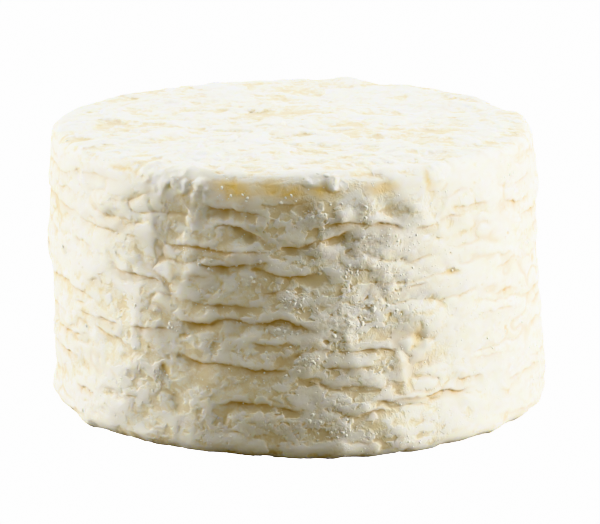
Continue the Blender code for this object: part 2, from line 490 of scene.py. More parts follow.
@dataclass(frozen=True)
class Tuck:
    """An upright ridge from one height to another, with a trough on one side of it.

    falls is 1 where the trough is to the right of the ridge and -1 where it is to the left.
    """

    z_top: float
    z_bottom: float
    top_deg: float
    bottom_deg: float
    bow: float
    reach: float
    depth: float
    swell: float
    falls: int

    def press(self, skin: Skin) -> None:
        """Presses the tuck into the skin.

        Args:
            skin: the surface, which is changed.
        """
        make = TUCK_MAKE
        along = (self.z_top - skin.height) / (self.z_top - self.z_bottom)
        line = self.top_deg + (self.bottom_deg - self.top_deg) * along + self.bow * 4 * along * (1 - along)
        line = line + make.ripple_deg * np.sin(make.ripple_turn * skin.height + self.top_deg)
        beside = skin.beside(line) * self.falls
        fade = make.share * smooth_step(along * make.taper_top + make.taper_from)
        fade = fade * smooth_step((1 - along) * make.taper_bottom)
        trough = smooth_step(beside / make.trough_rise + make.trough_from)
        trough = trough * np.exp(-np.maximum(beside, 0.0) / self.reach)
        ridge = make.ridge_at.up_side(beside)
        raised = make.ridge_share * self.swell * ridge - make.trough_share * self.depth * trough
        skin.out += fade * raised
        # Painted amber glow in the trough.
        amber_share = make.glow_tinted * fade * make.glow_tinted_at.up_side(beside) * min(1.0, self.depth)
        skin.amber = np.maximum(skin.amber, amber_share)


class Mark(Enum):
    """What a patch of the side is."""

    GRAINY = "strewn with small round grains of curd"
    HOLLOW = "pressed in"
    # A pit gets painted amber glow and painted shade as well as its hollow.
    PIT = "a small deep hole, stained amber"
    LOBE = "smooth and raised"
    CRUMBLY = "torn open, white and crumbly"
    SMEARED = "pressed smooth and creamy"
    # Painted glow: amber laid where warm light would come through the curd, with no change of shape.
    AMBER_GLOW = "stained amber, no change of shape"


PATCH_EDGE = 1.5
PIT_DEPTH = 0.5
# A pit's amber is painted glow, and its darkening is painted shade.
PIT_GLOW = 0.55
PIT_SHADE = 0.15
LOBE_WHITE = 0.5


@dataclass(frozen=True)
class Patch:
    """A patch of the side: its angle, height, half width and half height, and how strong it is."""

    mark: Mark
    angle: float
    height: float
    half_width: float
    half_height: float
    strength: float

    def share(self, skin: Skin) -> np.ndarray:
        """1 inside the patch, 0 outside, with a soft edge."""
        across = skin.beside(self.angle) / self.half_width
        up = (skin.height - self.height) / self.half_height
        return np.exp(-((across * across + up * up) ** PATCH_EDGE))

    def press(self, skin: Skin) -> None:
        """Works the patch into the skin.

        Args:
            skin: the surface, which is changed.
        """
        share = self.share(skin)
        if self.mark is Mark.HOLLOW:
            skin.out -= self.strength * share
        if self.mark is Mark.PIT:
            skin.out -= PIT_DEPTH * self.strength * share
            # Painted amber glow and painted shade in the pit.
            skin.amber = np.maximum(skin.amber, PIT_GLOW * share)
            skin.crease = np.maximum(skin.crease, PIT_SHADE * share)
        if self.mark is Mark.LOBE:
            skin.out += self.strength * share
            skin.white += LOBE_WHITE * share
        if self.mark is Mark.GRAINY:
            skin.grainy = np.maximum(skin.grainy, self.strength * share)
        if self.mark is Mark.CRUMBLY:
            skin.white += self.strength * share
        if self.mark is Mark.SMEARED:
            skin.white -= self.strength * share
        if self.mark is Mark.AMBER_GLOW:
            skin.amber = np.maximum(skin.amber, self.strength * share)


LEVEL_FOLDS = (
    Fold(-64, -33, 56.2, 55.2, -0.3, 0.15, 2.0, 0.5, 0.4),
    Fold(-34, -3, 55.2, 54.2, -0.1, 0.25, 2.0, 0.9, 0.5),
    Fold(-6, 15, 54.2, 59.8, -0.5, 0.2, 1.0, 1.0, 0.9),
    Fold(5, 27, 60.2, 59.0, 1.8, 0.2, 2.0, 1.0, 0.6),
    Fold(27, 36, 58.6, 59.8, 0.0, 0.1, 1.0, 0.6, 0.3),
    Fold(-24, -4, 51.0, 52.0, -0.9, 0.2, 1.5, 1.0, 0.8),
    Fold(-10, 6, 50.6, 49.4, -1.9, 0.1, 1.0, 1.0, 0.9),
    Fold(-50, -24, 44.7, 44.5, 0.6, 0.2, 1.5, 0.8, 0.5),
    Fold(-30, -5, 40.8, 40.4, -0.6, 0.1, 2.0, 0.6, 0.4),
    Fold(-31, 7, 33.8, 35.0, 2.0, 0.5, 3.0, 1.3, 0.9),
    Fold(-62, -42, 31.3, 30.5, 0.3, 0.15, 2.0, 0.6, 0.4),
    Fold(-41, -29, 30.8, 32.2, -0.3, 0.1, 1.0, 0.9, 0.5),
    Fold(-55, -42, 28.7, 26.0, 0.0, 0.1, 1.0, 0.6, 0.4),
    Fold(-30, 0, 26.0, 24.2, -0.3, 0.4, 2.0, 1.1, 0.8),
    Fold(4, 18, 24.6, 24.3, -0.2, 0.1, 1.0, 0.6, 0.3),
    Fold(2, 26, 29.6, 28.0, -0.1, 0.3, 1.5, 0.7, 0.5),
    Fold(-20, 3, 13.8, 13.0, 1.8, 0.1, 1.0, 0.9, 0.6),
    Fold(14, 46, 15.4, 15.0, 0.1, 0.3, 3.0, 0.9, 0.6),
    Fold(6, 22, 10.8, 12.6, 0.7, 0.15, 2.0, 0.6, 0.4),
    Fold(-72, -52, 37.6, 35.4, 0.5, 0.1, 1.0, 0.5, 0.4),
    Fold(-76, -58, 24.3, 24.6, 0.4, 0.1, 1.0, 0.5, 0.4),
    Fold(62, 80, 71.0, 71.8, -0.6, 0.1, 1.0, 0.5, 0.3),
    Fold(-12, 9, 66.4, 67.4, -0.1, 0.3, 2.0, 0.6, 0.35),
    Fold(-21, -5, 65.3, 63.4, 0.5, 0.1, 1.0, 1.0, 1.0),
    Fold(-19, -5, 59.8, 55.6, 2.9, 0.1, 1.0, 0.7, 0.9),
    Fold(14, 24, 70.6, 71.0, 0.0, 0.15, 2.0, 0.4, 0.2),
)

FAINT_FOLDS = (
    Fold(-26, -16, 47.6, 47.4, 0.1, 0.15, 1.5, 0.5, 0.3),
    Fold(-8, 3, 43.4, 44.8, 0.1, 0.1, 1.0, 0.6, 0.3),
    Fold(-11, 1, 30.8, 30.6, 0.1, 0.15, 1.0, 0.6, 0.4),
    Fold(37, 51, 62.6, 62.4, 0.1, 0.15, 2.0, 0.6, 0.3),
    Fold(33, 43, 60.0, 60.6, 0.1, 0.1, 1.0, 0.5, 0.2),
    Fold(0, 17, 20.1, 19.7, 0.1, 0.15, 2.0, 0.4, 0.4),
    Fold(10, 21, 49.8, 49.4, 0.2, 0.1, 1.0, 0.5, 0.3),
    Fold(20, 32, 42.4, 44.2, 0.1, 0.15, 1.0, 0.5, 0.4),
    Fold(-60, -40, 68.6, 68.8, -0.3, 0.2, 1.5, 0.4, 0.4),
    Fold(-58, -44, 40.6, 41.4, 0.2, 0.2, 1.5, 0.4, 0.3),
    Fold(-52, -38, 13.0, 12.0, 0.3, 0.2, 1.5, 0.4, 0.3),
    Fold(37, 47, 17.6, 17.2, 0.4, 0.2, 1.5, 0.7, 0.5),
    Fold(46, 60, 48.2, 47.0, 0.4, 0.2, 1.5, 0.4, 0.3),
    Fold(44, 62, 34.0, 32.0, 0.6, 0.2, 1.5, 0.4, 0.4),
    Fold(40, 58, 23.0, 21.0, 0.4, 0.2, 1.5, 0.4, 0.3),
    Fold(54, 76, 14.6, 14.0, -0.4, 0.2, 1.5, 0.4, 0.3),
    Fold(56, 78, 64.0, 64.6, 0.5, 0.2, 1.5, 0.4, 0.3),
)

UPRIGHT_TUCKS = (
    Tuck(74.5, 65.0, -29.3, -35.0, 0.0, 2.4, 0.9, 0.6, 1),
    Tuck(66.5, 55.2, -35.0, -30.2, -0.4, 2.2, 1.6, 0.8, 1),
    Tuck(55.4, 49.6, -33.0, -30.2, 0.0, 1.8, 1.2, 0.5, 1),
    Tuck(51.0, 44.4, -29.4, -27.0, 0.0, 1.6, 1.3, 0.3, 1),
    Tuck(70.0, 60.0, 37.2, 34.6, 0.3, 1.7, 1.5, 0.7, -1),
    Tuck(73.0, 67.0, 33.0, 33.4, 0.0, 1.0, 1.6, 0.3, -1),
    Tuck(59.0, 53.5, 35.0, 34.4, 0.0, 1.3, 0.9, 0.4, -1),
    Tuck(53.0, 45.5, 35.6, 36.2, 0.0, 1.6, 0.7, 0.3, -1),
    Tuck(37.0, 26.5, 29.8, 28.8, 0.0, 2.2, 1.1, 0.5, -1),
    Tuck(28.0, 16.0, 24.0, 25.0, 0.2, 2.4, 1.2, 0.7, 1),
    Tuck(54.0, 40.5, 20.0, 19.4, 0.6, 3.2, 0.7, 0.4, -1),
    Tuck(66.5, 61.0, 7.6, 8.6, 0.0, 1.2, 0.9, 0.4, 1),
    Tuck(39.0, 30.0, 11.9, 11.2, 0.0, 1.2, 0.6, 0.5, 1),
    Tuck(64.5, 60.0, 26.4, 24.8, 0.0, 2.6, 0.9, 0.5, -1),
    Tuck(66.0, 58.0, -23.0, -20.4, 0.0, 1.6, 0.7, 0.4, 1),
    Tuck(66.0, 41.0, 104.0, 97.0, 1.5, 2.2, 1.2, 0.7, 1),
    Tuck(75.0, 52.0, 158.0, 165.0, 1.0, 2.4, 1.2, 0.7, -1),
    Tuck(40.0, 12.0, 196.0, 190.0, -1.0, 2.6, 1.1, 0.6, 1),
    Tuck(75.0, 38.0, 238.0, 244.0, -1.2, 2.2, 1.2, 0.8, -1),
)

# Each group is a mark and its patches: angle, height, half width, half height and strength.
PATCH_GROUPS = (
    (Mark.GRAINY, (
        (0.0, 41.2, 3.2, 2.0, 1.0),
        (18.0, 37.8, 7.0, 4.0, 0.6),
        (12.0, 49.8, 2.6, 1.7, 0.8),
        (0.0, 67.1, 4.0, 1.3, 0.6),
        (3.1, 63.2, 2.0, 1.4, 0.8),
        (-3.3, 33.8, 5.0, 0.7, 1.0),
        (-17.2, 43.8, 1.8, 1.3, 0.8),
        (-19.0, 50.9, 4.0, 1.2, 0.8),
        (17.2, 64.2, 2.0, 2.4, 1.0),
        (-9.7, 46.8, 2.2, 1.4, 0.7),
        (2.0, 26.5, 3.4, 2.4, 0.8),
        (4.0, 12.0, 4.0, 2.0, 0.7),
        (-33.0, 19.0, 2.2, 4.5, 0.7),
        (-24.0, 70.5, 4.0, 1.6, 0.6),
        (10.0, 7.0, 5.0, 2.4, 0.5),
        (-28.0, 33.0, 2.4, 1.4, 0.7),
    )),
    (Mark.HOLLOW, (
        (-46.0, 59.2, 3.2, 1.0, 0.9),
        (-59.5, 67.0, 1.4, 1.6, 0.8),
        (10.5, 57.2, 3.6, 1.6, 0.9),
        (22.5, 63.5, 3.4, 2.0, 1.1),
        (-27.0, 58.0, 2.2, 2.0, 0.5),
        (-13.0, 62.8, 6.5, 1.4, 0.7),
        (-9.0, 57.6, 3.0, 1.8, 0.8),
        (5.0, 46.5, 3.6, 1.6, 0.6),
        (28.5, 30.0, 1.8, 2.4, 0.8),
    )),
    (Mark.PIT, (
        (-43.5, 72.0, 3.4, 1.3, 1.5),
        (-31.6, 21.3, 1.7, 1.7, 0.9),
        (37.5, 46.0, 2.0, 0.7, 1.6),
        (-8.6, 49.8, 1.2, 0.7, 1.2),
        (-1.2, 47.2, 0.6, 0.5, 0.9),
        (0.8, 10.2, 0.5, 0.7, 1.0),
        (21.5, 37.2, 0.5, 0.5, 0.9),
        (24.0, 37.2, 0.5, 0.5, 0.9),
        (13.8, 36.9, 0.9, 0.6, 0.8),
        (0.4, 28.0, 0.9, 0.6, 1.0),
        (27.0, 28.0, 1.0, 0.7, 1.0),
        (-25.6, 30.6, 0.9, 0.5, 0.9),
        (54.8, 27.0, 0.6, 1.2, 0.8),
        (55.0, 4.5, 0.8, 1.2, 0.8),
    )),
    (Mark.LOBE, (
        (-48.5, 62.2, 5.0, 1.7, 0.9),
        (-12.5, 53.6, 3.4, 2.2, 0.9),
        (5.5, 54.6, 3.4, 2.0, 0.7),
        (-7.0, 62.0, 3.6, 2.4, 0.6),
        (29.0, 63.0, 2.6, 2.6, 0.7),
        (6.0, 63.6, 2.2, 2.6, 0.6),
        (12.0, 63.4, 2.4, 1.9, 0.6),
        (22.5, 56.0, 2.6, 2.4, 0.5),
        (-22.0, 61.2, 1.8, 2.2, 0.4),
        (8.0, 61.0, 5.5, 6.0, 0.6),
        (8.5, 3.6, 3.6, 1.8, 0.9),
    )),
    (Mark.CRUMBLY, (
        (-28.0, 32.8, 2.2, 1.4, 1.6),
        (-33.2, 36.8, 1.3, 0.9, 1.5),
        (0.0, 42.5, 3.4, 2.4, 1.4),
        (12.0, 43.4, 2.4, 3.0, 1.2),
        (19.0, 41.0, 6.0, 2.0, 0.9),
        (16.5, 65.0, 2.4, 2.4, 1.4),
        (-20.0, 31.0, 6.0, 3.0, 1.0),
        (2.3, 26.4, 3.0, 2.2, 1.3),
        (-5.5, 34.8, 2.8, 1.4, 1.2),
        (-21.0, 53.0, 6.5, 1.5, 1.2),
        (8.0, 9.0, 5.0, 4.0, 1.0),
        (-4.0, 11.0, 5.5, 2.4, 0.9),
        (22.0, 4.0, 6.0, 2.4, 1.2),
        (-33.6, 19.5, 1.6, 4.2, 1.5),
        (11.4, 34.8, 0.9, 4.4, 1.5),
        (22.8, 25.0, 1.5, 3.6, 1.2),
        (-38.5, 37.0, 2.0, 5.0, 0.5),
        (-20.0, 8.0, 9.0, 4.5, 0.5),
    )),
    (Mark.SMEARED, (
        (-34.0, 57.0, 8.0, 6.0, 0.25),
        (-29.0, 37.5, 8.0, 5.5, 0.3),
    )),
    (Mark.CRUMBLY, (
        (8.5, 73.4, 5.0, 2.2, 1.2),
        # Partly painted light: this broad patch whitens the right flank, where the side lights fall.
        (64.0, 44.0, 22.0, 30.0, 0.35),
        (-22.0, 72.8, 5.0, 2.0, 1.2),
    )),
    (Mark.SMEARED, (
        (-14.0, 44.5, 7.0, 2.6, 0.8),
        (-27.0, 39.5, 3.0, 1.6, 1.2),
        (-14.0, 62.5, 7.0, 1.8, 1.0),
        (4.0, 46.5, 3.6, 1.8, 1.0),
        (34.0, 27.0, 4.5, 10.0, 0.9),
        (-10.0, 18.5, 8.0, 1.4, 0.8),
        (-6.0, 5.5, 5.0, 2.2, 1.0),
        (17.5, 32.0, 2.6, 1.6, 1.0),
        (-24.0, 46.0, 4.0, 1.4, 0.8),
        (-14.0, 71.8, 8.0, 1.6, 0.8),
        (22.0, 66.5, 4.5, 3.0, 0.9),
        (-47.0, 50.0, 12.0, 9.0, 0.8),
        (-42.0, 64.0, 8.0, 7.0, 0.7),
        (52.0, 40.0, 16.0, 24.0, 0.3),
        (-20.0, 20.0, 9.0, 3.4, 0.6),
        (-62.0, 24.0, 12.0, 14.0, 0.5),
    )),
    # Painted amber glow: the band under the front rim, where warm light comes through the thin rim, and a few
    # troughs.
    (Mark.AMBER_GLOW, (
        (-13.0, 69.6, 7.0, 2.4, 0.9),
        (-2.0, 69.8, 6.0, 2.1, 1.0),
        (7.5, 69.4, 4.4, 1.8, 0.9),
        (-26.0, 71.0, 1.3, 1.4, 0.9),
        (-23.0, 68.0, 3.6, 2.6, 0.6),
        (20.5, 70.0, 5.0, 1.6, 0.6),
        (32.2, 70.2, 0.8, 2.6, 1.0),
        (28.2, 31.0, 1.3, 3.4, 0.5),
        (-27.8, 47.5, 1.1, 3.0, 0.4),
    )),
)
PATCHES = [Patch(mark, *row) for mark, rows in PATCH_GROUPS for row in rows]

RIM_LOBES = (
    Patch(Mark.LOBE, -25.4, 70.0, 2.6, 1.8, 0.5),
    Patch(Mark.LOBE, -20.2, 70.6, 2.3, 1.9, 0.55),
    Patch(Mark.LOBE, -30.6, 69.6, 2.2, 3.0, 0.4),
    Patch(Mark.LOBE, -21.0, 67.2, 2.2, 1.8, 0.4),
    Patch(Mark.LOBE, -27.0, 73.4, 4.2, 1.8, 0.3),
    Patch(Mark.LOBE, -34.5, 71.6, 3.0, 2.4, 0.35),
    Patch(Mark.LOBE, 9.6, 71.4, 3.0, 1.7, 0.55),
    Patch(Mark.LOBE, 4.4, 72.4, 2.6, 1.3, 0.3),
    Patch(Mark.LOBE, 35.0, 72.0, 3.4, 1.8, 0.35),
)


@dataclass(frozen=True)
class BackPatches:
    """Patches of one kind laid round the back: how many, and their sizes and strengths, from and to."""

    mark: Mark
    count: int
    half_widths: Span
    half_heights: Span
    strengths: Span


@dataclass(frozen=True)
class BackRule:
    """The rule by which the back gets marks of the same make as the front's.

    Pairs are from and to. Angles are degrees and lengths millimetres.
    """

    fold_seed: int = 11
    rows: int = 11
    folds_from: float = 46.0
    folds_to: float = 300.0
    overrun: float = 6.0
    first_gap: Span = (0.0, 24.0)
    length: Span = (12.0, 38.0)
    off_level: Span = (-2.0, 2.0)
    bow: Span = (-1.6, 1.6)
    ripple: Span = (0.1, 0.4)
    waves: float = 2.0
    depth: Span = (0.4, 1.0)
    lip: Span = (0.2, 0.7)
    gap: Span = (-4.0, 22.0)
    patch_seed: int = 23
    patch_angle: Span = (64.0, 292.0)
    patch_height: Span = (4.0, 71.0)
    plan: tuple[BackPatches, ...] = (
        BackPatches(Mark.CRUMBLY, 22, (1.5, 6.5), (1.2, 4.0), (0.8, 1.4)),
        BackPatches(Mark.SMEARED, 16, (3.0, 8.0), (1.4, 5.0), (0.7, 1.1)),
        BackPatches(Mark.LOBE, 12, (2.2, 4.5), (1.6, 2.6), (0.5, 0.9)),
        BackPatches(Mark.HOLLOW, 12, (1.8, 4.5), (1.0, 2.2), (0.6, 1.1)),
        BackPatches(Mark.PIT, 14, (0.5, 1.9), (0.5, 1.4), (0.8, 1.5)),
    )

    def folds(self) -> list[Fold]:
        """Lays folds in rows round the back.

        Returns:
            The folds.
        """
        draw = np.random.default_rng(self.fold_seed)
        made = []
        for row in range(self.rows):
            level = HEIGHT * (row + 1) / (self.rows + 1)
            start = self.folds_from + draw.uniform(*self.first_gap)
            while start < self.folds_to:
                end = min(start + draw.uniform(*self.length), self.folds_to + self.overrun)
                z_start, z_end = level + draw.uniform(*self.off_level, 2)
                bow = draw.uniform(*self.bow)
                ripple = draw.uniform(*self.ripple)
                depth = draw.uniform(*self.depth)
                lip = draw.uniform(*self.lip)
                made.append(Fold(start, end, z_start, z_end, bow, ripple, self.waves, depth, lip))
                start = end + draw.uniform(*self.gap)
        return made

    def patches(self) -> list[Patch]:
        """Lays crumbly, smeared, raised and hollow patches round the back, and a few pits.

        Returns:
            The patches.
        """
        draw = np.random.default_rng(self.patch_seed)
        made = []
        for kind in self.plan:
            for _ in range(kind.count):
                angle = draw.uniform(*self.patch_angle)
                height = draw.uniform(*self.patch_height)
                sizes = [draw.uniform(*r) for r in (kind.half_widths, kind.half_heights, kind.strengths)]
                made.append(Patch(kind.mark, angle, height, *sizes))
        return made


@dataclass(frozen=True)
class TopWave:
    """One wave of the uneven top: how high it is in millimetres, how it turns to the right and to the back in
    radians a millimetre, where it starts, and how far it sways as it runs, with the turns of the sway.
    """

    high: float
    right: float
    back: float
    start: float = 0.0
    sway: float = 0.0
    sway_right: float = 0.0
    sway_back: float = 0.0

    def over(self, x: np.ndarray, y: np.ndarray) -> np.ndarray:
        """How high the wave stands at each x and y."""
        swayed = self.sway * np.sin(x * self.sway_right + y * self.sway_back)
        return self.high * np.sin(x * self.right + y * self.back + self.start + swayed)


TOP_SWELL = TopWave(0.35, 0.11, 0.0, 0.6)
TOP_SWELL_TURN_BACK = 0.09
TOP_SWELL_START_BACK = -0.4
TOP_WAVES = (
    TopWave(0.22, 0.23, -0.17, 1.9),
    TopWave(0.16, 0.0, 0.41, 0.0, 2.0, 0.12, 0.0),
    TopWave(0.10, 0.52, 0.0, 0.0, 1.6, 0.0, 0.21),
)


def top_folds(x: np.ndarray, y: np.ndarray) -> np.ndarray:
    """How far the uneven top stands up from its plane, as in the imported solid.

    Args:
        x: how far right each point is, in millimetres.
        y: how far back each point is, in millimetres.

    Returns:
        A height for each point, in millimetres.
    """
    up = TOP_SWELL.over(x, y) * np.cos(y * TOP_SWELL_TURN_BACK + TOP_SWELL_START_BACK)
    for wave in TOP_WAVES:
        up = up + wave.over(x, y)
    return up


def evened(values: np.ndarray, faces: np.ndarray, rounds: int) -> np.ndarray:
    """Values averaged with their neighbours' over and over, so that only the broad shape is left.

    Args:
        values: one for each point.
        faces: the faces that join the points.
        rounds: how many times they are averaged.

    Returns:
        The averaged values.
    """
    start, end = faces.ravel(), np.roll(faces, -1, axis=1).ravel()
    joined = np.bincount(start, minlength=len(values)) + np.bincount(end, minlength=len(values))
    for _ in range(rounds):
        around = np.bincount(start, values[end], len(values)) + np.bincount(end, values[start], len(values))
        values = 0.5 * values + 0.5 * around / joined
    return values


# ---- How the skin is worked, step by step. Angles are degrees and lengths millimetres. ----


@dataclass(frozen=True)
class SideWork:
    """The cloth's marks in the side, with lines that waver, and the side's own broad swells."""

    line_waves: tuple[Wave, ...] = (Wave(7.0, 0.55, 2), Wave(2.0, 0.45, 3, 0.6))
    angle_waves: tuple[Wave, ...] = (Wave(7.0, 0.6, 2, apart=40.0), Wave(1.6, 0.3, 2, apart=40.0))
    footing: float = 0.45
    footing_reach: float = 1.5
    calmer: float = 0.3
    calmer_from: float = 16.0
    calmer_over: float = 14.0
    swells: tuple[Swell, ...] = (
        Swell(0.5, 2, 40.0),
        Swell(0.35, 5, 0.0, 0.07),
        Swell(0.25, 11, 20.0, -0.16),
    )
    full: float = 0.4
    front_lip: float = 0.7
    front_lip_round: Stretch = Stretch(-4.0, 20.0)
    front_lip_up: Stretch = Stretch(67.6, 2.4)
    left_foot: float = 1.1
    left_foot_round: Stretch = Stretch(-80.0, 9.0)
    left_foot_up: Stretch = Stretch(4.5, 3.5)
    rounded_from: float = 66.0
    rounded_over: float = 8.0
    rounded: float = 0.9
    front_rounded: float = 1.8
    front: Stretch = Stretch(0.0, 38.0)

    def work(self, skin: Skin, grain: Grain) -> None:
        """Presses every mark into the side, then swells and rounds it.

        Args:
            skin: the surface, which is changed.
            grain: the random fields.
        """
        angle, height = skin.angle.copy(), skin.height.copy()
        for wave in self.line_waves:
            skin.height = skin.height + wave.over(grain, skin.points)
        for wave in self.angle_waves:
            skin.angle = skin.angle + wave.over(grain, skin.points)
        back = BackRule()
        for mark in (*LEVEL_FOLDS, *FAINT_FOLDS, *back.folds(), *UPRIGHT_TUCKS, *PATCHES, *back.patches()):
            mark.press(skin)
        for curd in RIM_CURDS:
            across = skin.beside(curd.angle) / curd.half_width
            over = (height - curd.height) / curd.half_height
            skin.out += self.footing * curd.half_depth * bump(np.hypot(across, over) / self.footing_reach)
        skin.angle, skin.height = angle, height
        from_front = np.abs(angle_from(angle, 0.0))
        skin.out *= 1.0 - self.calmer * ramp(from_front, self.calmer_from, self.calmer_over)
        skin.out += sum(swell.over(angle, height) for swell in self.swells)
        front_lip = self.front_lip_round.round_side(angle) * self.front_lip_up.up_side(height)
        left_foot = self.left_foot_round.round_side(angle) * self.left_foot_up.up_side(height)
        rounding = np.clip((height - self.rounded_from) / self.rounded_over, 0.0, 1.0) ** 2
        rounding *= self.rounded + self.front_rounded * self.front.round_side(angle)
        skin.out += self.full + self.front_lip * front_lip + self.left_foot * left_foot - rounding


@dataclass(frozen=True)
class WrinkleWork:
    """The soft level rolls of rind between the folds, with a fine crease where two rolls meet."""

    sway: Wave = Wave(6.0, octaves=2, apart=70.0)
    swayed: float = 1.3
    drawn_out: tuple[float, float, float] = (0.3, 0.3, 1.0)
    rolls: Wave = Wave(5.5, octaves=2)
    places: Wave = Wave(12.0, 1.3, 2, apart=150.0)
    commonness: float = 0.35
    meeting_width: float = 0.11
    roll_high: float = 0.55
    roll_blunt: float = 0.01
    uneven: Wave = Wave(9.0, 0.3, 2)
    meeting_deep: float = 0.22
    meeting_shade: float = 0.35

    def work(self, skin: Skin, grain: Grain) -> None:
        """Lays the rolls all over the side.

        Args:
            skin: the surface, which is changed.
            grain: the random fields.
        """
        points = skin.points
        sway = self.sway.sway(grain, points)
        wave = self.rolls.over(grain, points * self.drawn_out + self.swayed * sway)
        here = smooth_step(self.places.over(grain, points) + self.commonness)
        meeting = bump(wave / self.meeting_width) * here
        rolled = self.roll_high * np.sqrt(wave * wave + self.roll_blunt)
        skin.out += rolled + self.uneven.over(grain, points) - self.meeting_deep * meeting
        skin.crease = np.maximum(skin.crease, self.meeting_shade * meeting)


@dataclass(frozen=True)
class FootWork:
    """The crumbled foot, with gaps under it."""

    gap_up: Stretch = Stretch(1.0, 1.5)
    gap_deep: float = 0.6
    lumps: tuple[Swell, ...] = (Swell(1.0, 17), Swell(1.0, 29, 50.0))
    lump_high: float = 0.16
    lump_up: Stretch = Stretch(2.0, 3.0)
    drawn_down: tuple[float, float, float] = (1.0, 1.0, 0.3)
    gaps: Wave = Wave(7.0, 1.4)
    commonness: float = 0.3
    whole: float = 0.8
    whole_round: Stretch = Stretch(-62.0, 22.0)
    shade: float = 0.4
    shade_up: Stretch = Stretch(0.3, 1.1)

    def work(self, skin: Skin, grain: Grain) -> None:
        """Crumbles the foot, but less at its left.

        Args:
            skin: the surface, which is changed.
            grain: the random fields.
        """
        lumps = sum(swell.over(skin.angle, skin.height) for swell in self.lumps)
        skin.out += self.lump_high * lumps * self.lump_up.up_side(skin.height)
        gaps = smooth_step(self.gaps.over(grain, skin.points * self.drawn_down) + self.commonness)
        gaps *= 1.0 - self.whole * self.whole_round.round_side(skin.angle)
        skin.out -= self.gap_up.up_side(skin.height) * gaps * self.gap_deep
        skin.crease = np.maximum(skin.crease, self.shade * gaps * self.shade_up.up_side(skin.height))


@dataclass(frozen=True)
class TopWork:
    """The top's flat plates of curd, the low wrinkles that the cloth left on it, and its uneven rim."""

    squash: float = 0.85
    sway: Wave = Wave(4.0, keep=0.6, apart=55.0)
    plate: float = 9.0
    plate_swayed: float = 2.2
    plate_high: float = 0.55
    plate_white: float = 1.2
    chip: float = 4.0
    chip_swayed: float = 1.2
    chip_apart: float = 31.0
    chip_high: float = 0.25
    chip_white: float = 0.3
    wrinkle_squash: float = 0.4
    wrinkle_apart: float = 3.0
    wrinkle_swayed: float = 1.2
    wrinkles: Wave = Wave(5.5)
    wrinkle_high: float = 0.5
    wrinkle_mean: float = 0.6
    wrinkle_white: float = 0.5
    wrinkle_white_mean: float = 0.55
    uneven: Wave = Wave(9.0, 0.3)
    raised: float = 0.4
    rim_reach: float = 3.0
    rim_lumps: Wave = Wave(4.5, 0.4, 2, apart=210.0)
    rim_down: float = 0.7
    flap_at: float = 147.0
    flap_rise: float = 1.2
    flap_end: float = 40.0
    flap_fall: float = 25.0
    flap_high: float = 1.1
    seam_shade: float = 0.1

    def flap(self, angle: np.ndarray) -> np.ndarray:
        """Where a flap of rind stands up along the back of the rim, from 0 to 1."""
        past = angle_from(angle, self.flap_at)
        return smooth_step(past / self.flap_rise) * ramp(past, self.flap_end, -self.flap_fall)

    def work(self, skin: Skin, grain: Grain) -> None:
        """Lays the plates and wrinkles on the top.

        Args:
            skin: the surface, which is changed.
            grain: the random fields.
        """
        up = skin.upward
        x, y = skin.points[:, 0], skin.points[:, 1]
        level = np.zeros(len(x))
        flat = np.column_stack([x * self.squash, y, level])
        sway = self.sway.sway(grain, flat)
        plate, plate_edge, plate_drawn = grain.flakes(flat + self.plate_swayed * sway, self.plate)
        chip, _, chip_drawn = grain.flakes(flat + self.chip_swayed * sway + self.chip_apart, self.chip)
        drawn_out = np.column_stack([x * self.wrinkle_squash + self.wrinkle_apart, y, level])
        wrinkle = 1.0 - np.abs(self.wrinkles.over(grain, drawn_out + self.wrinkle_swayed * sway))
        wrinkle = wrinkle * wrinkle
        high = self.plate_high * plate + self.chip_high * chip
        high = high + self.wrinkle_high * (wrinkle - self.wrinkle_mean) + self.uneven.over(grain, flat)
        rim = np.exp(-np.maximum(TOP_RADIUS - np.hypot(x, y), 0.0) / self.rim_reach)
        rim_lumps = self.rim_lumps.over(grain, skin.points) - self.rim_down
        rim_lumps = rim_lumps + self.flap_high * self.flap(skin.angle)
        skin.out += up * (self.raised + top_folds(x, y) + high + rim * rim_lumps)
        paler = self.plate_white * (plate_drawn - 0.5) + self.chip_white * (chip_drawn - 0.5)
        paler = paler + self.wrinkle_white * (wrinkle - self.wrinkle_white_mean)
        skin.white += up * paler
        skin.crease = np.maximum(skin.crease, self.seam_shade * up * (1 - plate_edge))


@dataclass
class Texture:
    """The fields that the curd's shape and its whiteness are both drawn from, a number for each point."""

    broad: np.ndarray
    fine: np.ndarray
    flake: np.ndarray
    flake_edge: np.ndarray
    chip: np.ndarray
    chip_edge: np.ndarray
    chip_drawn: np.ndarray
    crumb: np.ndarray
    crumb_drawn: np.ndarray
    crust: np.ndarray
    torn: np.ndarray


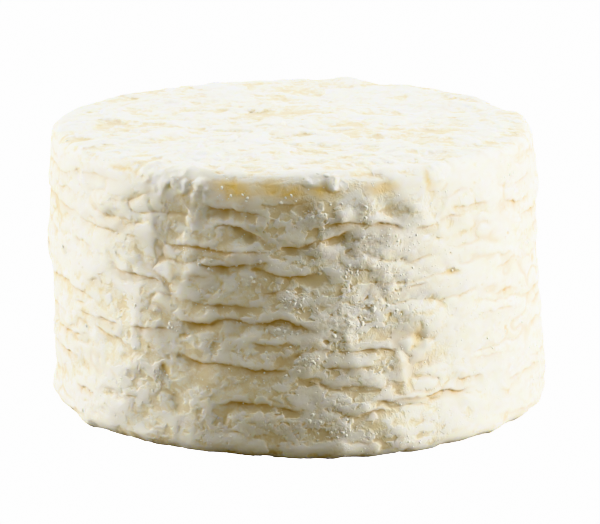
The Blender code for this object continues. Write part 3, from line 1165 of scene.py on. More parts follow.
@dataclass(frozen=True)
class CurdWork:
    """The curd that shows: a smeared creamy ground, with ragged crusts of white crumbly curd on it.

    A crust is made of flakes, chips and crumbs, from wide to narrow. torn says how crumbly a place is.
    """

    squash: float = 0.45
    sway: Wave = Wave(2.6, keep=0.6, apart=90.0)
    broad: Wave = Wave(14.0)
    fine: Wave = Wave(1.0, octaves=2)
    flake: float = 6.0
    flake_swayed: float = 1.1
    chip: float = 2.8
    chip_swayed: float = 0.7
    chip_apart: float = 31.0
    crumb: float = 1.5
    crumb_swayed: float = 0.3
    crumb_apart: float = 57.0
    crust: Wave = Wave(4.2, octaves=5, keep=0.68, apart=23.0)
    crust_swayed: float = 0.5
    crust_by_broad: float = 0.3
    crust_by_white: float = 0.5
    crust_common: float = 0.1
    crust_edge: float = 0.16
    torn: float = 0.3
    torn_by_broad: float = 0.5
    torn_by_white: float = 0.75
    top_whole: float = 0.5
    least_rough: float = 0.4
    torn_rough: float = 0.6
    crust_high: float = 0.4
    torn_crust_high: float = 0.3
    flake_high: float = 0.35
    chip_high: float = 0.3
    crumb_high: float = 0.6
    crumbs_from: float = 0.3
    crumbs_over: float = 0.5
    fine_high: float = 0.05
    lumps: Wave = Wave(3.6, 0.12, 2, apart=7.0)
    ground_white: float = 0.36
    crust_white: float = 0.34
    chip_white: float = 0.2
    crumb_white: float = 0.3
    crumb_mean: float = 0.4
    broad_white: float = 0.2
    fine_white: float = 0.1
    top_white: float = 0.16
    top_by_white: float = 0.45
    # The painted amber glow is broken into patches: a share of it is kept, varied by a wave.
    amber_share: float = 0.82
    amber_patchiness: Wave = Wave(2.4, 0.7, 3, 0.6, 3.0)
    amber_least: float = 0.2
    pore: float = 3.4
    pore_apart: float = 13.0
    pore_rare: float = 0.8
    pore_width: float = 0.12
    pore_deep: float = 0.4
    pore_shade: float = 0.45
    front: float = 2.0
    calm: float = 0.62
    calm_from: float = 10.0
    calm_over: float = 14.0
    height: float = 0.85
    rim_calm: float = 0.4
    rim_from: float = 65.0
    rim_over: float = 4.0
    loose: float = 0.2
    loose_crust: float = 0.8
    least_side: float = 0.3
    side_high: float = 0.7
    top_high: float = 0.3
    # Seams between chips and flakes get painted shade.
    chip_seam_shade: float = 0.35
    flake_seam_shade: float = 0.2

    def texture(self, skin: Skin, grain: Grain, points: np.ndarray) -> Texture:
        """Draws the fields.

        Args:
            skin: the surface.
            grain: the random fields.
            points: where on it, squashed as the curd is.

        Returns:
            The fields at each point.
        """
        sway = self.sway.sway(grain, points)
        broad = self.broad.over(grain, points)
        fine = self.fine.over(grain, points)
        flake, flake_edge, _ = grain.flakes(points + self.flake_swayed * sway, self.flake)
        chipped = points + self.chip_swayed * sway + self.chip_apart
        chip, chip_edge, chip_drawn = grain.flakes(chipped, self.chip)
        crumb, crumb_drawn = grain.grains(points + self.crumb_swayed * sway + self.crumb_apart, self.crumb)
        crusted = self.crust.over(grain, points + self.crust_swayed * sway) + self.crust_by_broad * broad
        crusted = crusted + self.crust_by_white * skin.white + self.crust_common
        crust = smooth_step(crusted / self.crust_edge + 0.5)
        torn = smooth_step(self.torn + self.torn_by_broad * broad + self.torn_by_white * skin.white)
        torn = torn * (1.0 - self.top_whole * skin.upward)
        return Texture(
            broad, fine, flake, flake_edge, chip, chip_edge, chip_drawn, crumb, crumb_drawn, crust, torn
        )

    def relief(self, drawn: Texture, grain: Grain, points: np.ndarray) -> np.ndarray:
        """How high the curd stands at each point.

        Args:
            drawn: the fields.
            grain: the random fields.
            points: where.

        Returns:
            The height of each point, in millimetres.
        """
        crumbly = self.crumb_high * ramp(drawn.torn, self.crumbs_from, self.crumbs_over) * drawn.crust
        relief = (self.crust_high + self.torn_crust_high * drawn.torn) * (drawn.crust - 0.5)
        relief = relief + self.flake_high * drawn.flake + self.chip_high * drawn.chip * drawn.crust
        relief = relief + crumbly * drawn.crumb_drawn * drawn.crumb
        return relief + self.fine_high * drawn.fine + self.lumps.over(grain, points)

    def whiten(self, skin: Skin, drawn: Texture) -> None:
        """Makes crusts and their chips and crumbs whiter than the ground between them.

        Args:
            skin: the surface, which is changed.
            drawn: the fields.
        """
        up = skin.upward
        crumbs = self.crumb_white * (drawn.crumb - self.crumb_mean) * drawn.torn * drawn.crust
        paler = self.crust_white * drawn.crust + self.chip_white * (drawn.chip_drawn - 0.5)
        paler = paler + crumbs + self.broad_white * drawn.broad
        paler = (1.0 - self.top_whole * up) * paler + up * (self.top_white + self.top_by_white * skin.white)
        skin.white = np.clip(self.ground_white + paler + self.fine_white * drawn.fine, 0.0, 1.0)

    def work(self, skin: Skin, grain: Grain) -> None:
        """Lays the curd over the whole skin.

        Args:
            skin: the surface, which is changed.
            grain: the random fields.
        """
        side, up = skin.side, skin.upward
        squash = np.array([1.0, 1.0, 1.0]) + side[:, None] * np.array([0.0, 0.0, self.squash])
        points = skin.points * squash
        drawn = self.texture(skin, grain, points)
        crust, torn = drawn.crust, drawn.torn
        rough = self.least_rough + self.torn_rough * torn
        relief = self.relief(drawn, grain, points)
        self.whiten(skin, drawn)
        skin.amber *= np.clip(self.amber_share + self.amber_patchiness.over(grain, points), self.amber_least, 1.0)
        pore_near, _, pore_drawn, _ = grain.cells(points + self.pore_apart, self.pore)
        pore = side * (pore_drawn > self.pore_rare) * bump(pore_near / self.pore_width)
        from_front = np.abs(angle_from(skin.angle, self.front))
        calm = 1.0 - self.calm * ramp(from_front, self.calm_from, self.calm_over)
        near_rim = ramp(skin.height, self.rim_from, self.rim_over)
        calm = self.height * calm * (1.0 - self.rim_calm * side * near_rim)
        skin.loose = torn * (self.loose + self.loose_crust * crust)
        skin.torn = skin.loose * calm
        facing = self.least_side + self.side_high * np.maximum(side, self.top_high * up)
        skin.out += rough * relief * calm * facing - self.pore_deep * pore
        # Painted shade in the seams between chips and between flakes.
        painted_seam_shade = self.chip_seam_shade * torn * (1 - drawn.chip_edge) * crust
        painted_seam_shade = painted_seam_shade + self.flake_seam_shade * rough * (1 - drawn.flake_edge)
        skin.crease = np.maximum(skin.crease, np.maximum(self.pore_shade * pore, side * painted_seam_shade))


@dataclass(frozen=True)
class IronWork:
    """How tight the cloth lay: it flattened the fine relief. What stayed sunk gets painted shade and what
    stayed risen painted light, and the flanks where the side lights fall are painted whiter.
    """

    shoulder_reach: float = 2.0
    shoulder_from: float = 65.0
    shoulder_in: float = -6.0
    shoulder_over: float = 3.0
    shoulder_least: float = 0.35
    shoulder_front: float = 0.6
    shoulder_round: Stretch = Stretch(-3.0, 17.0)
    cloth_reach: float = 1.0
    tight: float = 0.45
    rim_tighter: float = 0.15
    rim_from: float = 64.0
    foot_tighter: float = 0.25
    foot_below: float = 7.0
    edge_over: float = 4.0
    front_tighter: float = 0.12
    front_half: float = 28.0
    flank_looser: float = 0.25
    flanks: tuple[Stretch, ...] = (Stretch(68.0, 32.0), Stretch(-68.0, 32.0))
    risen_full: float = 0.5
    risen_painted_light: float = 0.15
    side_risen_painted_light: float = 0.5
    # Painted light and shade: the flanks, where the side lights fall, are drawn whiter, and the front middle,
    # which lies in shade, less white.
    whiter: tuple[tuple[float, Stretch], ...] = (
        (0.38, Stretch(64.0, 38.0)),
        (0.25, Stretch(-62.0, 22.0)),
        (-0.14, Stretch(-14.0, 26.0)),
    )
    sunk_from: float = -0.1
    sunk_over: float = 0.4
    sunk_shade: float = 0.5

    def work(self, skin: Skin, faces: np.ndarray, step: float) -> None:
        """Irons the skin, first its shoulder and then all of it.

        Args:
            skin: the surface, which is changed.
            faces: the faces that join its points.
            step: how far apart the points are, in millimetres.
        """
        side = skin.side
        from_rim = np.hypot(skin.points[:, 0], skin.points[:, 1]) - TOP_RADIUS
        shoulder = ramp(skin.height, self.shoulder_from, self.shoulder_over)
        shoulder = shoulder * ramp(from_rim, self.shoulder_in, self.shoulder_over)
        shoulder *= self.shoulder_least + self.shoulder_front * self.shoulder_round.round_side(skin.angle)
        rounds = round((2.0 * self.shoulder_reach / step) ** 2)
        skin.out += shoulder * (evened(skin.out, faces, rounds) - skin.out)
        broad = evened(skin.out, faces, round((2.0 * self.cloth_reach / step) ** 2))
        risen = skin.out - broad
        tight = self.tight + self.rim_tighter * ramp(skin.height, self.rim_from, self.edge_over)
        tight += self.foot_tighter * ramp(skin.height, self.foot_below, -self.edge_over)
        tight += self.front_tighter * bump(skin.angle / self.front_half)
        for flank in self.flanks:
            tight -= self.flank_looser * flank.round_side(skin.angle)
        skin.out = broad + risen * (1.0 - side * tight)
        # Painted light: relief that stands proud is drawn whiter; what stayed sunk gets painted shade below.
        lifted = np.clip(risen / self.risen_full, -1.0, 1.0)
        skin.white += (self.risen_painted_light + self.side_risen_painted_light * side) * lifted
        for more, where in self.whiter:
            skin.white += more * side * where.round_side(skin.angle)
        sunk = smooth_step((self.sunk_from - risen) / self.sunk_over)
        skin.crease = np.maximum(skin.crease, self.sunk_shade * side * sunk)


@dataclass(frozen=True)
class LobeWork:
    """The rounded lobes of curd that hang over the rim, each lumpy and whiter than the rest."""

    lumps: Wave = Wave(1.8, 1.1, 3, apart=9.0)
    edges: Wave = Wave(2.4, apart=27.0)
    edge: float = 1.25
    whiter: float = 0.7

    def work(self, skin: Skin, grain: Grain) -> None:
        """Raises the lobes, and clears the painted amber glow that they cover.

        Args:
            skin: the surface, which is changed.
            grain: the random fields.
        """
        lumps = 1.0 + self.lumps.over(grain, skin.points)
        edges = 1.0 + self.edges.over(grain, skin.points)
        for lobe in RIM_LOBES:
            share = smooth_step(self.edge * lobe.share(skin) * edges)
            skin.out += lobe.strength * share * lumps
            skin.white += self.whiter * share
            skin.amber *= 1.0 - share


@dataclass(frozen=True)
class CrumbPlaces:
    """Where loose curd lies on the skin: in clumps where it is torn, hardly elsewhere, and not on the top."""

    floor_gap: float = 1.5
    clumps: Wave = Wave(2.6, 2.2, 2)
    clumps_rare: float = 0.1
    clusters: Wave = Wave(5.0, 2.0, 2, apart=50.0)
    clusters_rare: float = 0.2
    crumbs_least: float = 0.04
    crumbs_whole: float = 0.1
    crumbs_loose: float = 0.9
    nuggets_least: float = 0.005
    nuggets_loose: float = 0.25
    nuggets_from: float = 0.3
    nuggets_over: float = 0.5
    nuggets_grainy: float = 0.8

    def shares(self, skin: Skin, grain: Grain) -> dict[str, np.ndarray]:
        """How many bits lie at each point, as parts of the most there can be.

        Args:
            skin: the finished surface.
            grain: the random fields.

        Returns:
            The share for crumbs and the share for nuggets.
        """
        off_floor = ramp(skin.height, self.floor_gap, self.floor_gap)
        clump = smooth_step(self.clumps.over(grain, skin.points) - self.clumps_rare)
        cluster = smooth_step(self.clusters.over(grain, skin.points) - self.clusters_rare)
        crumbs = self.crumbs_least + clump * (self.crumbs_whole + self.crumbs_loose * skin.loose)
        in_loose = self.nuggets_loose * cluster * ramp(skin.loose, self.nuggets_from, self.nuggets_over)
        nuggets = np.maximum(self.nuggets_least + in_loose, self.nuggets_grainy * skin.grainy)
        return {
            "crumbs": off_floor * crumbs * (1 - skin.upward),
            "nuggets": nuggets * off_floor * (1 - skin.upward),
        }


# ---- The wheel ----


GRID_SLACK = 1e-9
HELD_FIELDS = ("white", "amber", "crease", "torn", "crumbs", "nuggets")


@dataclass
class Wheel:
    """The cheese itself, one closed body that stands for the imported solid.

    The two arc_steps are the fewest steps round the rim's and the foot's rounding. A point that faces down as
    far as base_facing is of the base, where base_trim is taken off, so that nothing stands out.
    """

    step: float = 0.35
    quick_step: float = 0.8
    finished_triangles: int = 190_000
    arc_steps: int = 3
    foot_arc_steps: int = 4
    base_facing: float = -0.999
    base_trim: float = 0.55
    seed: int = 5

    def profile(self) -> np.ndarray:
        """The outline down the side, from the flat top to the flat base.

        Returns:
            Rows of radius, height, and the sideways and upward parts of the normal.
        """
        rows = []
        arc_steps = max(self.arc_steps, round(math.pi / 2 * TOP_EDGE_ROUND / self.step))
        for turn in np.linspace(0.0, math.pi / 2, arc_steps + 1):
            radius = TOP_RADIUS - TOP_EDGE_ROUND * (1 - math.sin(turn))
            height = HEIGHT - TOP_EDGE_ROUND * (1 - math.cos(turn))
            rows.append((radius, height, math.sin(turn), math.cos(turn)))
        wall_top, wall_bottom = HEIGHT - TOP_EDGE_ROUND, FOOT_ROUND
        wall_steps = round((wall_top - wall_bottom) / self.step)
        for share in np.linspace(0.0, 1.0, wall_steps + 1)[1:-1]:
            radius = TOP_RADIUS + (BASE_RADIUS - TOP_RADIUS) * share
            rows.append((radius, wall_top + (wall_bottom - wall_top) * share, 1.0, 0.0))
        foot_steps = max(self.foot_arc_steps, round(math.pi / 2 * FOOT_ROUND / self.step))
        for turn in np.linspace(0.0, math.pi / 2, foot_steps + 1):
            radius = BASE_RADIUS - FOOT_ROUND * (1 - math.cos(turn))
            rows.append((radius, FOOT_ROUND * (1 - math.sin(turn)), math.cos(turn), -math.sin(turn)))
        return np.array(rows)

    def blank(self) -> tuple[np.ndarray, np.ndarray, np.ndarray]:
        """The plain wheel before it is pressed.

        Returns:
            Its points, their normals, and its four-sided faces as point numbers.
        """
        quarter = round(2 * math.pi * BASE_RADIUS / self.step / 4)
        profile = self.profile()
        columns = 4 * quarter
        turn = 2 * math.pi * np.arange(columns) / columns
        round_x, round_y = np.sin(turn), -np.cos(turn)
        radius, height, sideways, upwards = (profile[:, i, None] for i in range(4))
        flat = np.zeros((1, columns))
        side = np.stack([radius * round_x, radius * round_y, height + flat], axis=-1).reshape(-1, 3)
        leaning = np.stack([sideways * round_x, sideways * round_y, upwards + flat], axis=-1).reshape(-1, 3)
        ring = np.arange(columns)
        after = np.roll(ring, -1)
        faces = []
        for row in range(len(profile) - 1):
            upper, lower = row * columns, (row + 1) * columns
            faces.append(np.stack([upper + ring, lower + ring, lower + after, upper + after], axis=1))
        points, normals = [side], [leaning]
        count = len(side)
        for facing, row in ((1.0, 0), (-1.0, len(profile) - 1)):
            disc, numbers = self.disc(quarter, profile[row, 0], row * columns, count)
            points.append(np.column_stack([disc, np.full(len(disc), profile[row, 1])]))
            normals.append(np.tile((0.0, 0.0, facing), (len(disc), 1)))
            corners = [numbers[:-1, :-1], numbers[1:, :-1], numbers[1:, 1:], numbers[:-1, 1:]]
            if facing < 0:
                corners.reverse()
            faces.append(np.stack([corner.ravel() for corner in corners], axis=1))
            count += len(disc)
        return np.concatenate(points), np.concatenate(normals), np.concatenate(faces)

    def disc(self, quarter: int, radius: float, ring_start: int, count: int) -> tuple[np.ndarray, np.ndarray]:
        """A flat round face as a square grid drawn out to a circle.

        Args:
            quarter: grid steps along one side of the square, a quarter of the ring's points.
            radius: the circle's radius.
            ring_start: number of the first point on the ring that the face meets.
            count: the number that its own first point gets.

        Returns:
            The x and y of its own points, and the point number at each place of the grid.
        """
        across = np.linspace(-1.0, 1.0, quarter + 1)
        u, v = np.meshgrid(across, across, indexing="ij")
        wide = np.abs(u) > np.abs(v)
        safe_u, safe_v = np.where(u == 0, 1.0, u), np.where(v == 0, 1.0, v)
        turn = np.where(wide, math.pi / 4 * v / safe_u, math.pi / 2 - math.pi / 4 * u / safe_v)
        reach = np.where(wide, u, v)
        x, y = radius * reach * np.cos(turn), radius * reach * np.sin(turn)
        rim = (np.abs(u) > 1 - GRID_SLACK) | (np.abs(v) > 1 - GRID_SLACK)
        columns = 4 * quarter
        column = np.round(np.arctan2(x, -y) / (2 * math.pi) * columns).astype(int) % columns
        numbers = np.where(rim, ring_start + column, 0)
        numbers[~rim] = count + np.arange((~rim).sum())
        return np.column_stack([x[~rim], y[~rim]]), numbers

    def pressed(self) -> tuple[np.ndarray, np.ndarray, Skin]:
        """The finished surface.

        Returns:
            Its points and faces, in millimetres, and what is known of each point.
        """
        points, normals, faces = self.blank()
        grain = Grain(self.seed)
        skin = Skin(points, normals)
        SideWork().work(skin, grain)
        WrinkleWork().work(skin, grain)
        side = skin.side
        for values in (skin.out, skin.drop, skin.crease, skin.white, skin.amber):
            values *= side
        for stage in (FootWork(), TopWork(), CurdWork()):
            stage.work(skin, grain)
        IronWork().work(skin, faces, self.step)
        LobeWork().work(skin, grain)
        facing_down = normals[:, 2] < self.base_facing
        out = np.where(facing_down, np.minimum(skin.out - self.base_trim, 0.0), skin.out)
        place = points + normals * out[:, None]
        place[:, 2] -= skin.drop
        place[:, 2] = np.maximum(place[:, 2], 0.0)
        place[:, 0] += LEAN / 2 - LEAN * place[:, 2] / HEIGHT
        return place, faces, skin

    def mesh(self) -> bpy.types.Mesh:
        """The pressed wheel as a mesh, with what its finish needs to know held at its points.

        Returns:
            The mesh before its triangles are thinned out.
        """
        place, faces, skin = self.pressed()
        mesh = bpy.data.meshes.new(CAD_NODE)
        mesh.vertices.add(len(place))
        mesh.vertices.foreach_set("co", (place * MM).astype(np.float32).ravel())
        mesh.loops.add(faces.size)
        mesh.loops.foreach_set("vertex_index", faces.astype(np.int32).ravel())
        mesh.polygons.add(len(faces))
        mesh.polygons.foreach_set("loop_start", np.arange(0, faces.size, 4, dtype=np.int32))
        mesh.update(calc_edges=True)
        mesh.shade_smooth()
        shares = {"white": skin.white, "amber": skin.amber, "crease": skin.crease, "torn": skin.torn}
        shares.update(CrumbPlaces().shares(skin, Grain(self.seed + 1)))
        for name, values in shares.items():
            held = mesh.attributes.new(name, "FLOAT", "POINT")
            held.data.foreach_set("value", np.clip(values, 0.0, 1.0).astype(np.float32))
        return mesh

    def build(self) -> bpy.types.Object:
        """Makes the piece.

        Returns:
            The wheel as an object of its own, thinned where it is smooth.
        """
        wheel = link_object("curd_cheese_wheel", self.mesh())
        thin = wheel.modifiers.new("thin_out", "DECIMATE")
        thin.ratio = min(1.0, self.finished_triangles / (2 * len(wheel.data.polygons)))
        apply_modifiers(wheel)
        return wheel


# ---- Objects and nodes ----


def link_object(name: str, data: bpy.types.ID) -> bpy.types.Object:
    """Makes an object of some data at the origin and puts it in the scene."""
    made = bpy.data.objects.new(name, data)
    bpy.context.scene.collection.objects.link(made)
    return made


def apply_modifiers(piece: bpy.types.Object) -> None:
    """Makes a piece's evaluated shape its own plain mesh and removes its modifiers.

    Args:
        piece: the object, which is changed.
    """
    graph = bpy.context.evaluated_depsgraph_get()
    before = piece.data
    finished = bpy.data.meshes.new_from_object(piece.evaluated_get(graph))
    piece.modifiers.clear()
    piece.data = finished
    finished.name = piece.name
    bpy.data.meshes.remove(before)


def add_node(tree: Tree, kind: str, inputs: dict | tuple = (), **settings) -> bpy.types.Node:
    """Adds a node.

    Args:
        tree: the tree that gets it.
        kind: the node's type name.
        inputs: for sockets, by name or number or in their order, a value or another node's output to link.
        settings: the node's own settings.

    Returns:
        The new node.
    """
    made = tree.nodes.new(kind)
    for name, value in settings.items():
        setattr(made, name, value)
    by_name = inputs if isinstance(inputs, dict) else dict(enumerate(inputs))
    for name, value in by_name.items():
        if isinstance(value, Socket):
            tree.links.new(value, made.inputs[name])
        else:
            made.inputs[name].default_value = value
    return made


# ---- Finishes ----


MIX_A = 6
MIX_B = 7
MIX_RESULT = 2
MIDDLE_GREY = (0.5, 0.5, 0.5)
FRESH_CHEESE_IOR = 1.42


@dataclass(frozen=True)
class CurdPattern:
    """The outputs of the nodes that draw the curd's pattern, each from 0 to about 1."""

    blob: Socket
    crumb: Socket
    off_crumb: Socket
    speck: Socket


@dataclass(frozen=True)
class PressedCurd:
    """Young cheese rind, curd pressed in a cloth and salted: damp, pale and slightly see-through.

    Light goes a millimetre or two into it, which softens every edge. Smeared parts look creamy and a little
    waxy, and torn parts white and dull. The amber is painted glow, where warm light would come through the
    curd at the band under the rim, in pits and in troughs, and the deep colour is painted shade in creases,
    gaps and sunk places. Sizes and heights ending in mm are millimetres.
    """

    name: str = "pressed_fresh_curd"
    butter: str = "#EBE0C1"
    cream: str = "#F3EDD7"
    cream_stop: float = 0.35
    white: str = "#F7F7F0"
    # Painted glow: warm light coming through the curd at the rim band, in pits and in troughs.
    amber: str = "#F3D26E"
    # Painted shade: creases, gaps, pits and sunk places are mixed towards this darker colour.
    deep: str = "#CBAB6A"
    # Curds are broken up to pea size before they are pressed, and blobs are what is left of them.
    blob_mm: float = 3.6
    blob_detail: float = 4.0
    blob_roughness: float = 0.6
    blob_distortion: float = 0.5
    crumb_mm: float = 1.4
    crumb_sway: float = 1.6
    # The curd's own grain is about a tenth of a millimetre, so it is drawn several times coarser to show.
    speck_mm: float = 0.5
    speck_detail: float = 2.0
    blob_high_mm: float = 0.15
    crumb_high_mm: float = 0.1
    speck_high_mm: float = 0.006
    mottle: float = 1.3
    torn_mottle: float = 1.3
    speck_white: float = 0.4
    crumb_white: float = 0.25
    butter_to: float = 0.35
    white_from: float = 1.0
    raised_from: float = 0.02
    raised_to: float = 0.68
    crumb_step: float = 0.6
    crumb_fall: float = -1.6
    # Smeared curd is sealed and has a little shine, and torn curd has next to none.
    smeared_roughness: float = 0.42
    torn_roughness: float = 0.7
    # Red light goes farthest into milk fat and blue least, so that thin edges look warm.
    soften: float = 0.6
    soften_mm: float = 1.6
    soften_colours: tuple[float, float, float] = (1.0, 0.92, 0.6)

    def pattern(self, tree: Tree) -> CurdPattern:
        """Draws blobs, the crumbs among them and fine specks.

        Args:
            tree: the material's nodes.

        Returns:
            The outputs that hold them.
        """
        place = add_node(tree, "ShaderNodeTexCoord").outputs["Object"]
        blob = add_node(
            tree,
            "ShaderNodeTexNoise",
            {
                "Vector": place,
                "Scale": 1 / (self.blob_mm * MM),
                "Detail": self.blob_detail,
                "Roughness": self.blob_roughness,
                "Distortion": self.blob_distortion,
            },
        )
        apart = add_node(
            tree, "ShaderNodeVectorMath", (blob.outputs["Color"], MIDDLE_GREY), operation="SUBTRACT"
        )
        sway = (self.crumb_sway * self.crumb_mm * MM,) * 3
        moved = add_node(
            tree, "ShaderNodeVectorMath", (apart.outputs[0], sway, place), operation="MULTIPLY_ADD"
        )
        crumb = add_node(
            tree, "ShaderNodeTexVoronoi", {"Vector": moved.outputs[0], "Scale": 1 / (self.crumb_mm * MM)}
        )
        crumb_share = add_node(tree, "ShaderNodeSeparateColor", {"Color": crumb.outputs["Color"]})
        speck = add_node(
            tree,
            "ShaderNodeTexNoise",
            {"Vector": place, "Scale": 1 / (self.speck_mm * MM), "Detail": self.speck_detail},
        )
        return CurdPattern(
            blob.outputs["Fac"], crumb_share.outputs[0], crumb.outputs["Distance"], speck.outputs["Fac"]
        )

    def colour(
        self,
        tree: Tree,
        whiter: Socket,
        amber: Socket,
        crease: Socket,
    ) -> Socket:
        """Works out the colour.

        Args:
            tree: the material's nodes.
            whiter: how white the curd is, from 0 to 1.
            amber: how much painted amber glow it gets.
            crease: how much painted shade it gets, in creases, gaps and sunk places.

        Returns:
            The output that holds the colour.
        """
        gradient = add_node(tree, "ShaderNodeValToRGB", {"Fac": whiter})
        stops = gradient.color_ramp.elements
        stops[0].color = linear(self.butter)
        stops[1].color = linear(self.white)
        stops.new(self.cream_stop).color = linear(self.cream)
        colour = gradient.outputs["Color"]
        # Painted amber glow, then painted shade, over the curd's own colour.
        for share, tint in ((amber, self.amber), (crease, self.deep)):
            mixed = add_node(
                tree,
                "ShaderNodeMix",
                {"Factor": share, MIX_A: colour, MIX_B: linear(tint)},
                data_type="RGBA",
            )
            colour = mixed.outputs[MIX_RESULT]
        return colour

    def relief(
        self,
        tree: Tree,
        drawn: CurdPattern,
        raised: Socket,
        crumbly: Socket,
    ) -> Socket:
        """Works out how high the curd stands.

        Args:
            tree: the material's nodes.
            drawn: the pattern.
            raised: where blobs stand up, from 0 to 1.
            crumbly: where crumbs show, from 0 to 1.

        Returns:
            The output that holds the height, in millimetres.
        """
        off = drawn.off_crumb
        squared = add_node(tree, "ShaderNodeMath", (off, off), operation="MULTIPLY")
        steps = add_node(
            tree, "ShaderNodeMath", (drawn.crumb, self.crumb_step, 0.0), operation="MULTIPLY_ADD"
        )
        crumbs = add_node(
            tree,
            "ShaderNodeMath",
            (squared.outputs[0], self.crumb_fall, steps.outputs[0]),
            operation="MULTIPLY_ADD",
        )
        shown = add_node(tree, "ShaderNodeMath", (crumbs.outputs[0], crumbly), operation="MULTIPLY")
        height = 0.0
        for share, high in (
            (drawn.speck, self.speck_high_mm),
            (raised, self.blob_high_mm),
            (shown.outputs[0], self.crumb_high_mm),
        ):
            added = add_node(tree, "ShaderNodeMath", (share, high, height), operation="MULTIPLY_ADD")
            height = added.outputs[0]
        return height

    def material(self) -> bpy.types.Material:
        """Builds the material.

        Returns:
            The new material.
        """
        made = bpy.data.materials.new(self.name)
        made.use_nodes = True
        tree = made.node_tree
        shader = tree.nodes["Principled BSDF"]
        shader.inputs["Subsurface Weight"].default_value = self.soften
        shader.inputs["Subsurface Radius"].default_value = self.soften_colours
        shader.inputs["Subsurface Scale"].default_value = self.soften_mm * MM
        shader.inputs["IOR"].default_value = FRESH_CHEESE_IOR
        white, amber, crease, torn = (
            add_node(tree, "ShaderNodeAttribute", attribute_name=name).outputs["Fac"]
            for name in ("white", "amber", "crease", "torn")
        )
        drawn = self.pattern(tree)
        centred = add_node(tree, "ShaderNodeMath", (drawn.blob, 1.0, -0.5), operation="MULTIPLY_ADD")
        by_torn = add_node(
            tree, "ShaderNodeMath", (torn, self.torn_mottle, self.mottle), operation="MULTIPLY_ADD"
        )
        mottle = add_node(
            tree, "ShaderNodeMath", (centred.outputs[0], by_torn.outputs[0]), operation="MULTIPLY"
        )
        patchy = add_node(
            tree, "ShaderNodeMath", (white, 1.0, mottle.outputs[0]), operation="MULTIPLY_ADD"
        )
        raised = add_node(
            tree,
            "ShaderNodeMapRange",
            {"Value": patchy.outputs[0], "From Min": self.raised_from, "From Max": self.raised_to},
            interpolation_type="SMOOTHSTEP",
        ).outputs["Result"]
        paler = patchy.outputs[0]
        for share, weight in ((drawn.speck, self.speck_white), (drawn.crumb, self.crumb_white)):
            added = add_node(tree, "ShaderNodeMath", (share, weight, paler), operation="MULTIPLY_ADD")
            paler = added.outputs[0]
        whiter = add_node(
            tree,
            "ShaderNodeMapRange",
            {"Value": paler, "From Min": self.butter_to, "From Max": self.white_from},
            interpolation_type="SMOOTHSTEP",
        ).outputs["Result"]
        tree.links.new(self.colour(tree, whiter, amber, crease), shader.inputs["Base Color"])
        dull = add_node(
            tree,
            "ShaderNodeMapRange",
            {"Value": whiter, "To Min": self.smeared_roughness, "To Max": self.torn_roughness},
        )
        tree.links.new(dull.outputs["Result"], shader.inputs["Roughness"])
        crumbly = add_node(tree, "ShaderNodeMath", (whiter, torn), operation="MULTIPLY").outputs[0]
        height = self.relief(tree, drawn, raised, crumbly)
        bumps = add_node(tree, "ShaderNodeBump", {"Height": height, "Strength": 1.0, "Distance": MM})
        tree.links.new(bumps.outputs["Normal"], shader.inputs["Normal"])
        return made


@dataclass(frozen=True)
class LooseCurd:
    """Crumbs of the same curd, torn and dry on the outside: the whitest and dullest part of the cheese.

    Sizes and heights ending in mm are millimetres.
    """

    name: str = "torn_dry_curd"
    white: str = "#F8FAF4"
    cream: str = "#F5F5EA"
    mottle_mm: float = 2.0
    # The curd's own grain is about a tenth of a millimetre, so it is drawn three times coarser to show.
    grain_mm: float = 0.3
    detail: float = 2.0
    grain_high_mm: float = 0.1
    grain_strength: float = 0.5
    # A torn face has next to no shine, and the dry outside lets little light in.
    roughness: float = 0.8
    soften: float = 0.12
    soften_mm: float = 0.7
    soften_colours: tuple[float, float, float] = (1.0, 0.84, 0.55)

    def material(self) -> bpy.types.Material:
        """Builds the material.

        Returns:
            The new material.
        """
        made = bpy.data.materials.new(self.name)
        made.use_nodes = True
        tree = made.node_tree
        shader = tree.nodes["Principled BSDF"]
        shader.inputs["Subsurface Weight"].default_value = self.soften
        shader.inputs["Subsurface Radius"].default_value = self.soften_colours
        shader.inputs["Subsurface Scale"].default_value = self.soften_mm * MM
        shader.inputs["IOR"].default_value = FRESH_CHEESE_IOR
        shader.inputs["Roughness"].default_value = self.roughness
        place = add_node(tree, "ShaderNodeTexCoord").outputs["Object"]
        mottle, grain = (
            add_node(
                tree,
                "ShaderNodeTexNoise",
                {"Vector": place, "Scale": 1 / (size * MM), "Detail": self.detail},
            ).outputs["Fac"]
            for size in (self.mottle_mm, self.grain_mm)
        )
        tinted = add_node(
            tree,
            "ShaderNodeMix",
            {"Factor": mottle, MIX_A: linear(self.cream), MIX_B: linear(self.white)},
            data_type="RGBA",
        )
        tree.links.new(tinted.outputs[MIX_RESULT], shader.inputs["Base Color"])
        bumps = add_node(
            tree,
            "ShaderNodeBump",
            {"Height": grain, "Strength": self.grain_strength, "Distance": self.grain_high_mm * MM},
        )
        tree.links.new(bumps.outputs["Normal"], shader.inputs["Normal"])
        return made


# ---- Loose curd ----


SQUARE_CM_IN_SQUARE_M = 10_000


